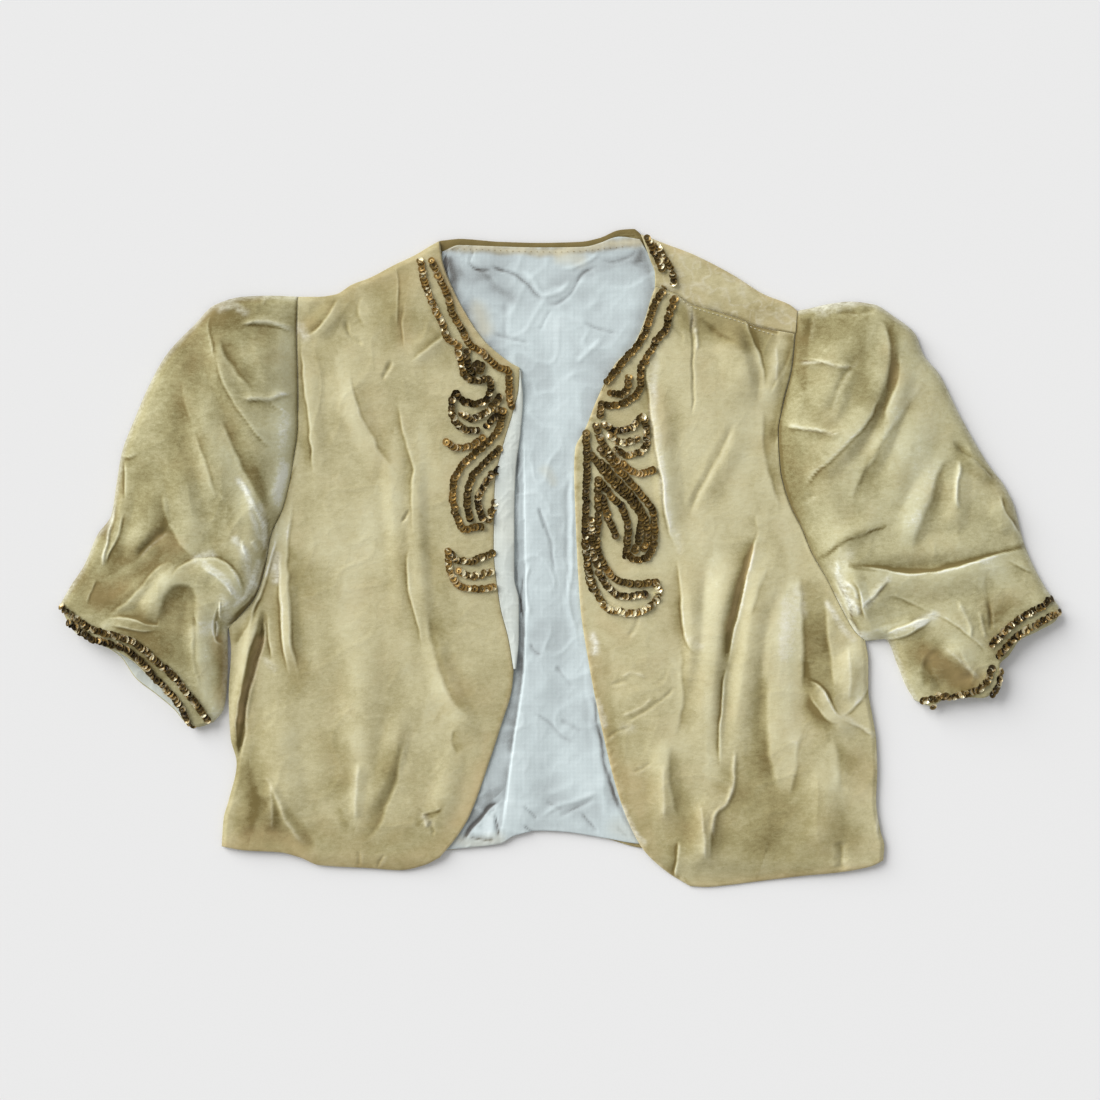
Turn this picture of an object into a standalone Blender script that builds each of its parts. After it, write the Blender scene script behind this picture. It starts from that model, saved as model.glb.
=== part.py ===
"""Short velvet shrug laid flat, as Blender solids: one closed wall for each cut piece that shows.

X runs across the garment to the viewer's right, Y towards the neck and Z up from the surface.
The tables and the sizes are in millimetres, and the meshes are written in metres.
"""

from math import radians

import bmesh
import bpy
import numpy as np

MM = 0.001

# Walls of the cloth
BACK_WALL = 1.6
FRONT_WALL = 2.0
LINING_WALL = 1.0
SLEEVE_WALL = 1.6
LEAN_LIMIT = 1.2
THINNEST_SHARE = 0.5

# Heights above the surface
LINING_UNDERSIDE = 1.9
FRONT_TOP = 5.2
SEWN_EDGE_TOP = 3.9
HEM_ON_SURFACE_TOP = 2.2
FRONT_SWELL = 1.8
STRIP_SWELL = 0.5
TUCK_RISE = 1.6
SLEEVE_EDGE_HEIGHT = 2.6

# Widths of the fronts' features
SEAM_GAP = 0.36
SWELL_WIDTH = 45.0
SEWN_EDGE_RISE = 4.0
FOLDS_FROM_SEAM = 8.0
FOLDS_FROM_FALLING_EDGE = 5.0
HEM_DROP_START = 2.5
HEM_DROP_WIDTH = 9.0
SHOULDER_FOLD_SHARE = 0.5

# The lining's tuck: steep at its edge, then fading to the right
TUCK_STEEP = 6.0
TUCK_WIDTH = 34.0
TUCK_FADE = 22.0
TUCK_FADE_TOP = 0.2
TUCK_FADE_HEM = 0.08

# Widths of the sleeves' features
SLEEVE_ROUND_ABOVE = 8.0
SLEEVE_ROUND_BELOW = 3.0
SLEEVE_BULGE_WIDTH = 70.0
FOLDS_FROM_ARMHOLE = 9.0
FOLDS_FROM_SLEEVE_SIDE = 7.0
FOLDS_FROM_CUFF = 16.0
FOLD_SHARE_AT_CUFF = 0.35

# Lining that shows past the left cuff, as shares of the cuff's edge and a way inwards
CUFF_LINING_FROM = 0.32
CUFF_LINING_TO = 0.82
CUFF_LINING_WAY = (0.58, 0.815)
CUFF_LINING_DEPTH = 19.0
CUFF_LINING_INSET = 1.5

# Divisions of the meshes. The first rows below the shoulder are short.
FRONT_COLUMNS = 38
ARMHOLE_SHARES = (0, 0.022, 0.088, 0.17, 0.25, 0.33, 0.41, 0.49, 0.57, 0.65, 0.73, 0.81, 0.88, 0.95, 1)
NECK_SHARES = (0, 0.06, 0.25, 0.44, 0.63, 0.82, 1)
ARMHOLE_ROWS = len(ARMHOLE_SHARES) - 1
NECK_ROWS = len(NECK_SHARES) - 1
SIDE_ROWS = 16
STRIP_ROWS = 12
STRIP_COLUMNS = 3
SHOULDER_ROWS = 3
BACK_COLUMNS = 16
BACK_SIDE_ROWS = 7
LINING_COLUMNS = 11
LINING_ROWS = 16
CUFF_LINING_COLUMNS = 9
CUFF_LINING_ROWS = 3
SLEEVE_SHARES = (0, 0.03, 0.07, 0.12, 0.18, 0.24, 0.31, 0.38, 0.45, 0.52, 0.59, 0.66, 0.73, 0.8, 0.9, 1)
ROUND_SIDE_SHARES = (0.12, 0.42)
EDGE_SAMPLES = 60
FOLD_SAMPLES = 24
FOLD_END_SHARE = 0.25
RELAX_ROUNDS = 300
RELAX_RATE = 0.8

# Part of the right armhole that the turned-over shoulder takes up
SHOULDER_SHARE = 0.066

# Cloths, as (red, green, blue) in linear light and roughness
CLOTHS = {
    "pale gold velvet": ((0.50, 0.45, 0.27), 0.8),
    "pale blue lining": ((0.62, 0.71, 0.72), 0.55),
}
SHARP_ANGLE = radians(50)

# Outlines, each a smooth line through points (x, y)
SHOULDER_LEFT = (
    (-198.7, 198.4),
    (-183.5, 198.4),
    (-169.9, 200.2),
    (-157.7, 207.5),
    (-144.0, 212.8),
    (-125.0, 222.7),
    (-109.1, 230.3),
    (-97.7, 237.2),
    (-90.8, 240.9),
)
NECK_BACK = (
    (-90.8, 240.9),
    (-75.6, 242.4),
    (-45.2, 240.2),
    (-14.8, 239.4),
    (15.6, 240.2),
    (30.8, 243.2),
    (46.0, 249.3),
    (56.6, 250.0),
    (61.9, 245.5),
)
SHOULDER_TOP_RIGHT = (
    (61.9, 245.5),
    (81.7, 237.9),
    (101.5, 230.3),
    (131.1, 215.1),
    (155.4, 199.9),
    (174.4, 192.3),
    (180.5, 187.7),
)
SHOULDER_SEAM_RIGHT = (
    (72.6, 206.0),
    (88.5, 200.6),
    (99.9, 192.8),
    (118.2, 187.5),
    (137.2, 181.4),
    (149.3, 175.8),
    (165.0, 171.0),
)
NECK_END_RIGHT = ((61.9, 245.5), (68.8, 226.5), (72.6, 215.1), (72.6, 206.0))
ARMHOLE_LEFT = (
    (-198.7, 198.4),
    (-199.5, 170.2),
    (-198.7, 127.7),
    (-198.7, 101.1),
    (-201.8, 74.5),
    (-209.4, 39.5),
    (-219.3, 16.0),
    (-223.1, -5.3),
    (-229.9, -27.4),
    (-242.8, -44.1),
    (-251.2, -52.4),
)
ARMHOLE_RIGHT = (
    (180.5, 187.7),
    (179.0, 169.5),
    (176.7, 145.9),
    (169.9, 117.0),
    (166.1, 95.0),
    (167.6, 68.4),
    (174.4, 41.8),
    (184.3, 21.3),
    (191.1, 4.6),
    (203.3, -16.7),
    (213.9, -38.0),
    (224.6, -56.2),
    (232.2, -63.1),
)
SIDE_LEFT = (
    (-251.2, -52.4),
    (-249.4, -69.9),
    (-251.2, -104.1),
    (-249.7, -136.0),
    (-245.1, -155.8),
    (-251.2, -183.9),
    (-255.0, -197.6),
    (-256.5, -218.9),
)
SIDE_RIGHT = (
    (232.2, -63.1),
    (234.5, -77.5),
    (234.5, -100.3),
    (237.5, -119.3),
    (240.5, -138.3),
    (241.3, -161.1),
    (240.5, -183.9),
    (243.6, -206.7),
    (246.6, -218.1),
    (245.9, -229.5),
)
NECKLINE_LEFT = (
    (-90.8, 240.9),
    (-88.5, 225.0),
    (-82.5, 208.2),
    (-72.6, 188.5),
    (-56.6, 164.9),
    (-36.9, 148.2),
    (-30.0, 144.4),
)
SEWN_EDGE_LEFT = (
    (-30.0, 144.4),
    (-30.8, 129.2),
    (-35.3, 110.2),
    (-42.9, 84.4),
    (-49.0, 55.5),
    (-49.8, 9.9),
    (-45.2, -34.2),
    (-38.4, -62.3),
    (-34.6, -85.9),
)
TURNED_EDGE_LEFT = (
    (-30.0, 144.4),
    (-27.7, 120.8),
    (-29.3, 97.3),
    (-33.1, 66.9),
    (-34.2, 34.2),
    (-34.2, -14.4),
    (-30.8, -32.7),
    (-30.8, -59.3),
    (-33.0, -85.9),
)
LOWER_EDGE_LEFT = (
    (-34.6, -85.9),
    (-36.1, -100.3),
    (-42.9, -123.1),
    (-52.8, -153.5),
    (-68.0, -195.3),
    (-77.1, -210.5),
    (-90.8, -227.2),
)
FRONT_EDGE_RIGHT = (
    (72.6, 206.0),
    (70.3, 199.9),
    (62.7, 175.6),
    (55.1, 160.4),
    (42.2, 147.4),
    (28.5, 120.8),
    (19.4, 98.0),
    (11.8, 82.8),
    (11.0, 69.2),
    (12.5, 19.8),
    (15.6, -35.7),
    (21.7, -77.5),
    (32.3, -130.7),
    (46.0, -183.9),
    (61.9, -218.9),
    (80.9, -237.9),
    (99.2, -249.3),
)
HEM_FRONT_LEFT = (
    (-256.5, -218.9),
    (-239.0, -221.9),
    (-212.4, -223.4),
    (-197.2, -227.2),
    (-182.0, -233.3),
    (-144.0, -235.6),
    (-121.2, -237.1),
    (-103.0, -233.3),
    (-90.8, -227.2),
)
HEM_FRONT_RIGHT = (
    (99.2, -249.3),
    (110.6, -250.0),
    (128.8, -248.5),
    (152.4, -245.5),
    (182.8, -241.7),
    (213.2, -238.6),
    (236.0, -234.1),
    (245.9, -229.5),
)
HEM_BACK = (
    (-256.5, -218.9),
    (-197.2, -221.0),
    (-90.8, -222.5),
    (-58.9, -218.0),
    (-45.2, -217.0),
    (-33.1, -210.5),
    (-14.8, -207.0),
    (0.4, -207.5),
    (30.8, -212.0),
    (62.7, -220.4),
    (106.8, -223.4),
    (182.8, -226.5),
    (245.9, -229.5),
)
SLEEVE_LEFT_OUTER = (
    (-198.7, 198.4),
    (-220.0, 199.1),
    (-239.0, 198.4),
    (-261.1, 192.3),
    (-277.0, 177.1),
    (-298.3, 154.3),
    (-311.2, 131.5),
    (-321.1, 108.7),
    (-332.5, 78.3),
    (-336.3, 55.5),
    (-340.1, 32.7),
    (-350.7, 17.5),
    (-360.6, -5.3),
    (-370.5, -20.5),
    (-378.9, -35.0),
)
SLEEVE_LEFT_INNER = (
    (-252.0, -53.2),
    (-253.4, -62.0),
    (-253.8, -77.5),
    (-253.8, -100.3),
    (-255.5, -114.8),
    (-262.6, -124.6),
)
CUFF_LEFT = (
    (-378.9, -35.0),
    (-368.2, -54.7),
    (-350.0, -64.6),
    (-334.0, -71.4),
    (-321.9, -79.0),
    (-309.7, -91.2),
    (-294.5, -105.6),
    (-286.1, -117.0),
    (-274.7, -127.5),
    (-262.6, -124.6),
)
CUFF_LEFT_UNDER = (
    (-378.9, -35.0),
    (-368.2, -54.7),
    (-350.0, -64.6),
    (-334.0, -74.5),
    (-321.9, -91.5),
    (-306.7, -103.4),
    (-293.0, -114.8),
    (-281.5, -127.0),
    (-274.7, -128.5),
    (-262.6, -124.6),
)
SLEEVE_RIGHT_OUTER = (
    (180.5, 187.7),
    (188.9, 189.2),
    (205.6, 193.0),
    (220.8, 194.6),
    (239.0, 192.3),
    (251.9, 184.7),
    (270.2, 169.5),
    (276.3, 154.3),
    (288.4, 139.1),
    (303.6, 108.7),
    (325.7, 70.7),
    (337.1, 55.5),
    (344.7, 40.3),
    (353.0, 9.9),
    (367.5, -20.5),
    (378.9, -36.5),
)
SLEEVE_RIGHT_INNER = (
    (232.2, -63.1),
    (246.6, -61.6),
    (256.5, -81.3),
    (262.6, -96.5),
    (269.4, -107.9),
)
CUFF_RIGHT = (
    (378.9, -36.5),
    (377.2, -45.6),
    (362.1, -55.5),
    (348.5, -62.3),
    (340.1, -73.7),
    (333.0, -81.5),
    (333.0, -90.5),
    (329.0, -100.8),
    (320.0, -106.0),
    (308.0, -105.5),
    (295.3, -105.8),
    (281.0, -112.0),
    (269.4, -107.9),
)
LINING_LEFT = (
    (-89.0, 231.0),
    (-97.0, 190.0),
    (-84.0, 150.0),
    (-72.0, 60.0),
    (-72.0, -60.0),
    (-78.0, -150.0),
    (-97.0, -219.5),
)
LINING_RIGHT = (
    (61.0, 238.0),
    (82.0, 205.0),
    (76.0, 150.0),
    (46.0, 80.0),
    (42.0, -20.0),
    (56.0, -130.0),
    (84.0, -214.5),
)
LINING_TOP = (
    (-89.0, 231.0),
    (-75.6, 236.0),
    (-45.2, 235.0),
    (-14.8, 234.2),
    (15.6, 234.6),
    (30.8, 236.5),
    (46.0, 240.0),
    (61.0, 238.0),
)
LINING_HEM = (
    (-97.0, -219.5),
    (-70.0, -216.5),
    (-46.0, -213.8),
    (-33.1, -207.0),
    (-14.8, -203.6),
    (0.4, -204.2),
    (30.8, -208.6),
    (60.0, -213.5),
    (84.0, -214.5),
)
TUCK_EDGE = ((-28.0, 110.0), (-27.0, 40.0), (-26.0, -40.0), (-27.0, -80.0), (-35.0, -140.0), (-45.0, -214.0))

# Height of each sleeve's upper layer along it, as (share of its length, height)
CROWN_LEFT = ((0.0, 5.2), (0.05, 12.0), (0.16, 19.0), (0.4, 17.0), (0.65, 14.0), (0.85, 12.0), (1.0, 11.0))
CROWN_RIGHT = ((0.0, 5.2), (0.05, 12.0), (0.16, 19.0), (0.4, 16.0), (0.65, 13.5), (0.85, 11.0), (1.0, 10.0))

# Folds, each a ridge over a line from its start through its middle to its end, with its height
# and its reach to the left and right of that line. A small reach is a steep side.
FOLD_COLUMNS = ("name", "x0", "y0", "x1", "y1", "x2", "y2", "height", "left", "right")
FRONT_LEFT_FOLDS = (
    ("side tuck", -229, -30, -238, -85, -247, -140, 7, 7, 7),
    ("underarm crease", -208, 2, -206, -43, -201, -91, 4.5, 7, 7),
    ("armhole fold", -189, 158, -187, 109, -184, 55, 3, 8, 8),
    ("dart fold", -108, 97, -107, 10, -100, -70, 4, 7, 11),
    ("dart tail", -98, -40, -83, -100, -56, -142, 3, 8, 11),
    ("dart left", -133, 120, -123, 21, -118, -62, 3, 14, 8),
    ("middle swell", -155, -32, -149, -131, -155, -211, 4, 16, 16),
    ("hem curve", -121, -108, -130, -161, -159, -204, 4, 8, 14),
    ("low side", -205, -100, -212, -157, -193, -216, 4, 14, 14),
    ("shoulder wedge", -164, 193, -177, 181, -188, 167, 4, 10, 9),
    ("shoulder slant", -163, 147, -150, 101, -123, 62, 2.5, 10, 10),
    ("neck slant", -90, 170, -102, 160, -117, 150, 2.5, 9, 9),
    ("hem pucker", -83, -137, -86, -176, -100, -213, 3, 10, 10),
)
FRONT_RIGHT_FOLDS = (
    ("shoulder roll", 124, 180, 139, 150, 145, 112, 6, 7, 15),
    ("shoulder flap", 163, 158, 161, 136, 154, 112, 3, 8, 8),
    ("motif roll top", 73, 137, 78, 67, 86, 5, 5, 11, 7),
    ("motif roll low", 94, 2, 101, -55, 95, -117, 4.5, 11, 7),
    ("pleat left crest", 138, 9, 119, -62, 114, -163, 8, 9, 15),
    ("pleat right crest", 157, 5, 142, -70, 132, -166, 6, 14, 8),
    ("side swell", 177, -21, 165, -85, 181, -180, 4, 15, 15),
    ("side oval", 216, -69, 220, -88, 216, -110, 4, 12, 12),
    ("side pocket", 192, -94, 207, -120, 228, -131, 4, 8, 8),
    ("hem ridge", 116, -176, 109, -207, 107, -239, 5, 11, 11),
    ("edge ridge", 75, -131, 79, -173, 81, -211, 4, 10, 10),
    ("breast slant", 143, 102, 119, 68, 99, 29, 2.5, 11, 11),
    ("hem side", 192, -154, 200, -192, 194, -228, 3, 14, 14),
)
SLEEVE_LEFT_FOLDS = (
    ("head pleat", -260, 182, -250, 126, -212, 78, 6, 8, 8),
    ("main roll", -273, 131, -264, 82, -243, 35, 9, 14, 14),
    ("second roll", -288, 81, -282, 38, -269, 5, 7, 11, 11),
    ("third roll", -311, 62, -310, 29, -334, -3, 6, 13, 12),
    ("outer ridge", -329, 61, -334, 25, -342, -8, 4, 9, 7),
    ("armhole roll", -236, 56, -229, 25, -236, -11, 6, 9, 8),
    ("arch left", -307, -55, -304, -29, -279, -9, 7, 10, 10),
    ("arch top", -281, -9, -258, -12, -249, -33, 6, 10, 9),
    ("arch right", -270, -23, -272, -62, -266, -108, 6, 9, 9),
    ("upper slant", -342, -40, -320, -26, -299, -7, 5, 9, 8),
    ("cuff fold", -341, -47, -323, -49, -306, -53, 3, 8, 8),
    ("head swell", -226, 173, -220, 143, -213, 105, 4, 14, 12),
)
SLEEVE_RIGHT_FOLDS = (
    ("main fold", 247, 176, 234, 111, 188, 57, 9, 8, 14),
    ("second fold", 262, 156, 250, 106, 230, 58, 7, 9, 9),
    ("broad swell", 281, 120, 263, 82, 244, 27, 5, 15, 14),
    ("third fold", 286, 68, 271, 35, 263, -2, 6, 9, 12),
    ("upright ridge", 302, 74, 299, 44, 297, 15, 5, 9, 9),
    ("edge ridge", 301, 82, 316, 70, 328, 56, 4, 8, 9),
    ("edge knob", 331, 46, 335, 30, 341, 17, 4, 8, 8),
    ("cuff crest", 223, -13, 282, -16, 342, 0, 6, 9, 13),
    ("above crease", 231, 6, 272, 4, 328, 15, 4, 11, 9),
    ("small slant", 208, 8, 221, 19, 244, 29, 4, 9, 9),
    ("flap", 240, -56, 259, -54, 282, -45, 4, 8, 8),
    ("thin ridge", 284, -43, 306, -55, 322, -71, 3, 8, 8),
    ("crushed fan", 217, -3, 223, -28, 232, -50, 5, 9, 9),
    ("short ridge", 232, -33, 242, -26, 250, -15, 3, 8, 8),
    ("lower swell", 293, -62, 304, -78, 310, -92, 4, 10, 10),
    ("head swell", 199, 171, 204, 135, 197, 97, 4, 14, 14),
)

# Edges that lie free over the body, where the front falls to its own thickness
EDGE_LEFT = (NECKLINE_LEFT, SEWN_EDGE_LEFT, LOWER_EDGE_LEFT)
OPEN_EDGES = (*EDGE_LEFT, FRONT_EDGE_RIGHT, HEM_FRONT_LEFT, HEM_FRONT_RIGHT)
SEAM_EDGES = (ARMHOLE_LEFT, ARMHOLE_RIGHT, SHOULDER_SEAM_RIGHT)

# Edges of each sleeve. Its lower layer ends at the cuff under it.
SLEEVE_LEFT_EDGES = {
    "armhole": ARMHOLE_LEFT[:-1] + SLEEVE_LEFT_INNER[:1],
    "outer": SLEEVE_LEFT_OUTER,
    "inner": SLEEVE_LEFT_INNER,
    "cuff": CUFF_LEFT,
    "cuff under": CUFF_LEFT_UNDER,
}
SLEEVE_RIGHT_EDGES = {
    "armhole": ARMHOLE_RIGHT,
    "outer": SLEEVE_RIGHT_OUTER,
    "inner": SLEEVE_RIGHT_INNER,
    "cuff": CUFF_RIGHT,
    "cuff under": CUFF_RIGHT,
}


def monotone(known, values, wanted):
    """Cubic through the values that never overshoots between two of them."""
    step = np.diff(known)
    slope = np.diff(values) / step
    tangent = np.zeros(len(values))
    same_way = slope[:-1] * slope[1:] > 0
    before = slope[:-1][same_way]
    after = slope[1:][same_way]
    tangent[1:-1][same_way] = 2 * before * after / (before + after)
    tangent[0] = slope[0]
    tangent[-1] = slope[-1]
    place = np.clip(np.searchsorted(known, wanted, side="right") - 1, 0, len(step) - 1)
    share = (wanted - known[place]) / step[place]
    rise = step[place]
    return (
        values[place] * (1 + 2 * share) * (1 - share) ** 2
        + tangent[place] * rise * share * (1 - share) ** 2
        + values[place + 1] * share**2 * (3 - 2 * share)
        + tangent[place + 1] * rise * share**2 * (share - 1)
    )


def run_along(line):
    """Distance along the line at each of its points."""
    return np.concatenate([[0], np.cumsum(np.linalg.norm(np.diff(line, axis=0), axis=1))])


def smooth_line(points, samples=600):
    """Evenly spaced points along a smooth line through a short table of points."""
    table = np.array(points, dtype=float)
    run = run_along(table)
    fine = np.linspace(0, run[-1], samples)
    dense = np.stack([monotone(run, table[:, 0], fine), monotone(run, table[:, 1], fine)], axis=1)
    return line_at(dense, np.linspace(0, 1, samples))


def line_at(line, shares):
    """Points of a dense line at these shares of its length."""
    run = run_along(line)
    places = np.asarray(shares) * run[-1]
    return np.stack([np.interp(places, run, line[:, axis]) for axis in range(2)], axis=1)


def at_shares(points, shares):
    """Points of the smooth line through a table, at these shares of its length."""
    return line_at(smooth_line(points), shares)


def even(count):
    return np.linspace(0, 1, count + 1)


def joined(*stretches):
    """Lines end to end, with each shared end point kept once."""
    return np.concatenate([stretches[0]] + [stretch[1:] for stretch in stretches[1:]])


def between(first, second, count):
    """Grid of points from one line across to another."""
    across = even(count)[None, :, None]
    return (1 - across) * first[:, None] + across * second[:, None]


def patch(top, bottom, left, right):
    """Grid of points spanned by four edge lines, rows running down."""
    across = even(len(top) - 1)[None, :, None]
    down = even(len(left) - 1)[:, None, None]
    corners = (
        (1 - across) * (1 - down) * top[0]
        + across * (1 - down) * top[-1]
        + (1 - across) * down * bottom[0]
        + across * down * bottom[-1]
    )
    return (1 - down) * top[None] + down * bottom[None] + between(left, right, len(top) - 1) - corners


def step_up(value):
    """Smooth step from 0 to 1."""
    value = np.clip(value, 0, 1)
    return value * value * (3 - 2 * value)


def distance_to(line, x, y):
    """Distance of each point to a line, the share along it and the side that the point is on."""
    best = np.full(x.shape, np.inf)
    along = np.zeros(x.shape)
    side = np.zeros(x.shape)
    last = len(line) - 1
    for index in range(last):
        start = line[index]
        way = line[index + 1] - start
        length = float(way @ way)
        share = np.clip(((x - start[0]) * way[0] + (y - start[1]) * way[1]) / length, 0, 1)
        gap_x = x - start[0] - share * way[0]
        gap_y = y - start[1] - share * way[1]
        gap = np.hypot(gap_x, gap_y)
        nearer = gap < best
        best = np.where(nearer, gap, best)
        along = np.where(nearer, (index + share) / last, along)
        side = np.where(nearer, way[0] * gap_y - way[1] * gap_x, side)
    return best, along, side


def edge_distance(x, y, *tables):
    """Distance to the nearest of these edges."""
    return np.min([distance_to(smooth_line(table, EDGE_SAMPLES), x, y)[0] for table in tables], axis=0)


def fold_line(fold):
    """Curve from the fold's start through its middle to its end."""
    share = even(FOLD_SAMPLES)[:, None]
    start = np.array([fold["x0"], fold["y0"]], dtype=float)
    middle = np.array([fold["x1"], fold["y1"]], dtype=float)
    end = np.array([fold["x2"], fold["y2"]], dtype=float)
    pull = 2 * middle - (start + end) / 2
    return (1 - share) ** 2 * start + 2 * share * (1 - share) * pull + share**2 * end


def fold_heights(table, x, y):
    """Height that the folds of a table add over the points. Where two cross, the higher one leads."""
    cubes = np.zeros(x.shape)
    for row in table:
        fold = dict(zip(FOLD_COLUMNS, row))
        gap, along, side = distance_to(fold_line(fold), x, y)
        reach = np.where(side > 0, fold["left"], fold["right"])
        bump = 0.5 + 0.5 * np.cos(np.pi * np.clip(gap / reach, 0, 1))
        taper = step_up(along / FOLD_END_SHARE) * step_up((1 - along) / FOLD_END_SHARE)
        cubes += (fold["height"] * bump * taper) ** 3
    return np.cbrt(cubes)


def drawn_in(grid, sides):
    """The grid with the named sides moved in by half a seam's gap."""
    moved = grid.copy()
    edge_of = {
        "left": (np.s_[:, 0], np.s_[:, 1]),
        "right": (np.s_[:, -1], np.s_[:, -2]),
        "top": (np.s_[0, :], np.s_[1, :]),
        "bottom": (np.s_[-1, :], np.s_[-2, :]),
    }
    for side in sides:
        edge, inner = edge_of[side]
        way = grid[inner] - grid[edge]
        moved[edge] += way / np.linalg.norm(way, axis=1, keepdims=True) * SEAM_GAP / 2
    return moved


def cloth_material(name, cloth):
    colour, roughness = CLOTHS[cloth]
    material = bpy.data.materials.new(f"{name} {cloth}")
    material.use_nodes = True
    shader = material.node_tree.nodes["Principled BSDF"]
    shader.inputs["Base Color"].default_value = (*colour, 1.0)
    shader.inputs["Roughness"].default_value = roughness
    shader.inputs["Metallic"].default_value = 0.0
    return material


def grid_mesh(points):
    """Blender grid of as many points, moved onto them. Rows run down, so the last row comes first."""
    rows, columns = points.shape[:2]
    cloth = bmesh.new()
    bmesh.ops.create_grid(cloth, x_segments=columns - 1, y_segments=rows - 1)
    cloth.verts.ensure_lookup_table()
    for vertex, point in zip(cloth.verts, points[::-1].reshape(-1, 3)):
        vertex.co = point * MM
    return cloth


def add_object(name, cloth, look):
    """Object of the finished mesh, with its origin on the surface below its middle."""
    places = np.array([vertex.co for vertex in cloth.verts])
    middle = (places.min(axis=0) + places.max(axis=0)) / 2
    middle[2] = 0
    bmesh.ops.translate(cloth, verts=cloth.verts, vec=-middle)
    mesh = bpy.data.meshes.new(name)
    cloth.to_mesh(mesh)
    cloth.free()
    mesh.shade_smooth()
    mesh.set_sharp_from_angle(angle=SHARP_ANGLE)
    mesh.materials.append(cloth_material(name, look))
    made = bpy.data.objects.new(name, mesh)
    made.location = middle
    made.parent = garment
    parts.objects.link(made)
    return made


def add_sheet(name, grid, top, wall, look, lowest=0.0):
    """Closed wall under a grid of top heights. Its underside follows the top, lower where it slopes."""
    slope_down = np.gradient(top, axis=0) / np.linalg.norm(np.gradient(grid, axis=0), axis=2)
    slope_across = np.gradient(top, axis=1) / np.linalg.norm(np.gradient(grid, axis=1), axis=2)
    lean = np.clip(np.sqrt(1 + slope_down**2 + slope_across**2), 1, LEAN_LIMIT)
    underside = np.minimum(np.maximum(top - wall * lean, lowest), top - THINNEST_SHARE * wall)
    cloth = grid_mesh(np.dstack([grid, underside]))
    top_height = cloth.verts.layers.float.new("top height")
    for vertex, height in zip(cloth.verts, top[::-1].reshape(-1)):
        vertex[top_height] = height * MM
    raised = bmesh.ops.extrude_face_region(cloth, geom=cloth.faces[:], use_keep_orig=True)["geom"]
    for element in raised:
        if isinstance(element, bmesh.types.BMVert):
            element.co.z = element[top_height]
    cloth.verts.layers.float.remove(top_height)
    bmesh.ops.recalc_face_normals(cloth, faces=cloth.faces)
    return add_object(name, cloth, look)


def add_tube(name, rings, wall, look):
    """Tube through rings of points, open at both ends, with its wall inside them."""
    cloth = grid_mesh(np.concatenate([rings, rings[:, :1]], axis=1))
    bmesh.ops.remove_doubles(cloth, verts=cloth.verts, dist=0.01 * MM)
    bmesh.ops.recalc_face_normals(cloth, faces=cloth.faces)
    made = add_object(name, cloth, look)
    shell = made.modifiers.new("wall", "SOLIDIFY")
    shell.thickness = wall * MM
    shell.offset = -1
    shell.use_even_offset = False


def front_heights(grid, folds, falling_edges):
    """Top and lowest underside of a front: level, a soft swell and folds, lower at its sewn edges and
    on the surface where it reaches past the back's hem."""
    x = grid[..., 0]
    y = grid[..., 1]
    from_falling = edge_distance(x, y, *falling_edges)
    from_open = edge_distance(x, y, *OPEN_EDGES)
    from_seam = edge_distance(x, y, *SEAM_EDGES)
    swell = step_up(np.minimum(from_open, from_falling) / SWELL_WIDTH) * step_up(from_seam / SWELL_WIDTH)
    hold = step_up(from_seam / FOLDS_FROM_SEAM) * step_up(from_falling / FOLDS_FROM_FALLING_EDGE)
    level = SEWN_EDGE_TOP + (FRONT_TOP - SEWN_EDGE_TOP) * step_up(from_falling / SEWN_EDGE_RISE)
    past, _, side = distance_to(smooth_line(HEM_BACK, EDGE_SAMPLES), x, y)
    drop = step_up((np.where(side < 0, past, 0) - HEM_DROP_START) / HEM_DROP_WIDTH)
    level = level + (HEM_ON_SURFACE_TOP - level) * drop
    top = level + FRONT_SWELL * swell + fold_heights(folds, x, y) * hold
    lowest = SEWN_EDGE_TOP + (HEM_ON_SURFACE_TOP - SEWN_EDGE_TOP) * drop - FRONT_WALL
    return top, lowest


def make_front_left():
    columns = even(FRONT_COLUMNS)
    lower_rows = ARMHOLE_ROWS + SIDE_ROWS - NECK_ROWS - STRIP_ROWS
    grid = patch(
        at_shares(SHOULDER_LEFT, columns),
        at_shares(HEM_FRONT_LEFT, columns),
        joined(at_shares(ARMHOLE_LEFT, ARMHOLE_SHARES), at_shares(SIDE_LEFT, even(SIDE_ROWS))),
        joined(
            at_shares(NECKLINE_LEFT, NECK_SHARES),
            at_shares(SEWN_EDGE_LEFT, even(STRIP_ROWS)),
            at_shares(LOWER_EDGE_LEFT, even(lower_rows)),
        ),
    )
    top, lowest = front_heights(grid, FRONT_LEFT_FOLDS, (SHOULDER_LEFT, SIDE_LEFT))
    add_sheet("front_left", drawn_in(grid, ("left", "right")), top, FRONT_WALL, "pale gold velvet", lowest)


def make_turned_strip():
    """Lining of the left front where its edge turns over, narrowing to nothing at both ends."""
    rows = even(STRIP_ROWS)
    strip = between(at_shares(SEWN_EDGE_LEFT, rows), at_shares(TURNED_EDGE_LEFT, rows), STRIP_COLUMNS)[1:-1]
    top = np.full(strip.shape[:2], FRONT_TOP) + STRIP_SWELL * np.sin(np.pi * even(STRIP_COLUMNS))
    add_sheet("front_lining_left", drawn_in(strip, ("left",)), top, FRONT_WALL, "pale blue lining")


def shoulder_seam_points():
    """The shoulder seam, which ends on the right armhole."""
    end = at_shares(ARMHOLE_RIGHT, (SHOULDER_SHARE,))[0]
    return at_shares(SHOULDER_SEAM_RIGHT[:-1] + (tuple(end),), even(FRONT_COLUMNS))


def below_shoulder_seam():
    """Shares of the right armhole from the shoulder seam down."""
    return SHOULDER_SHARE + (1 - SHOULDER_SHARE) * even(ARMHOLE_ROWS - 1)


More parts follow.
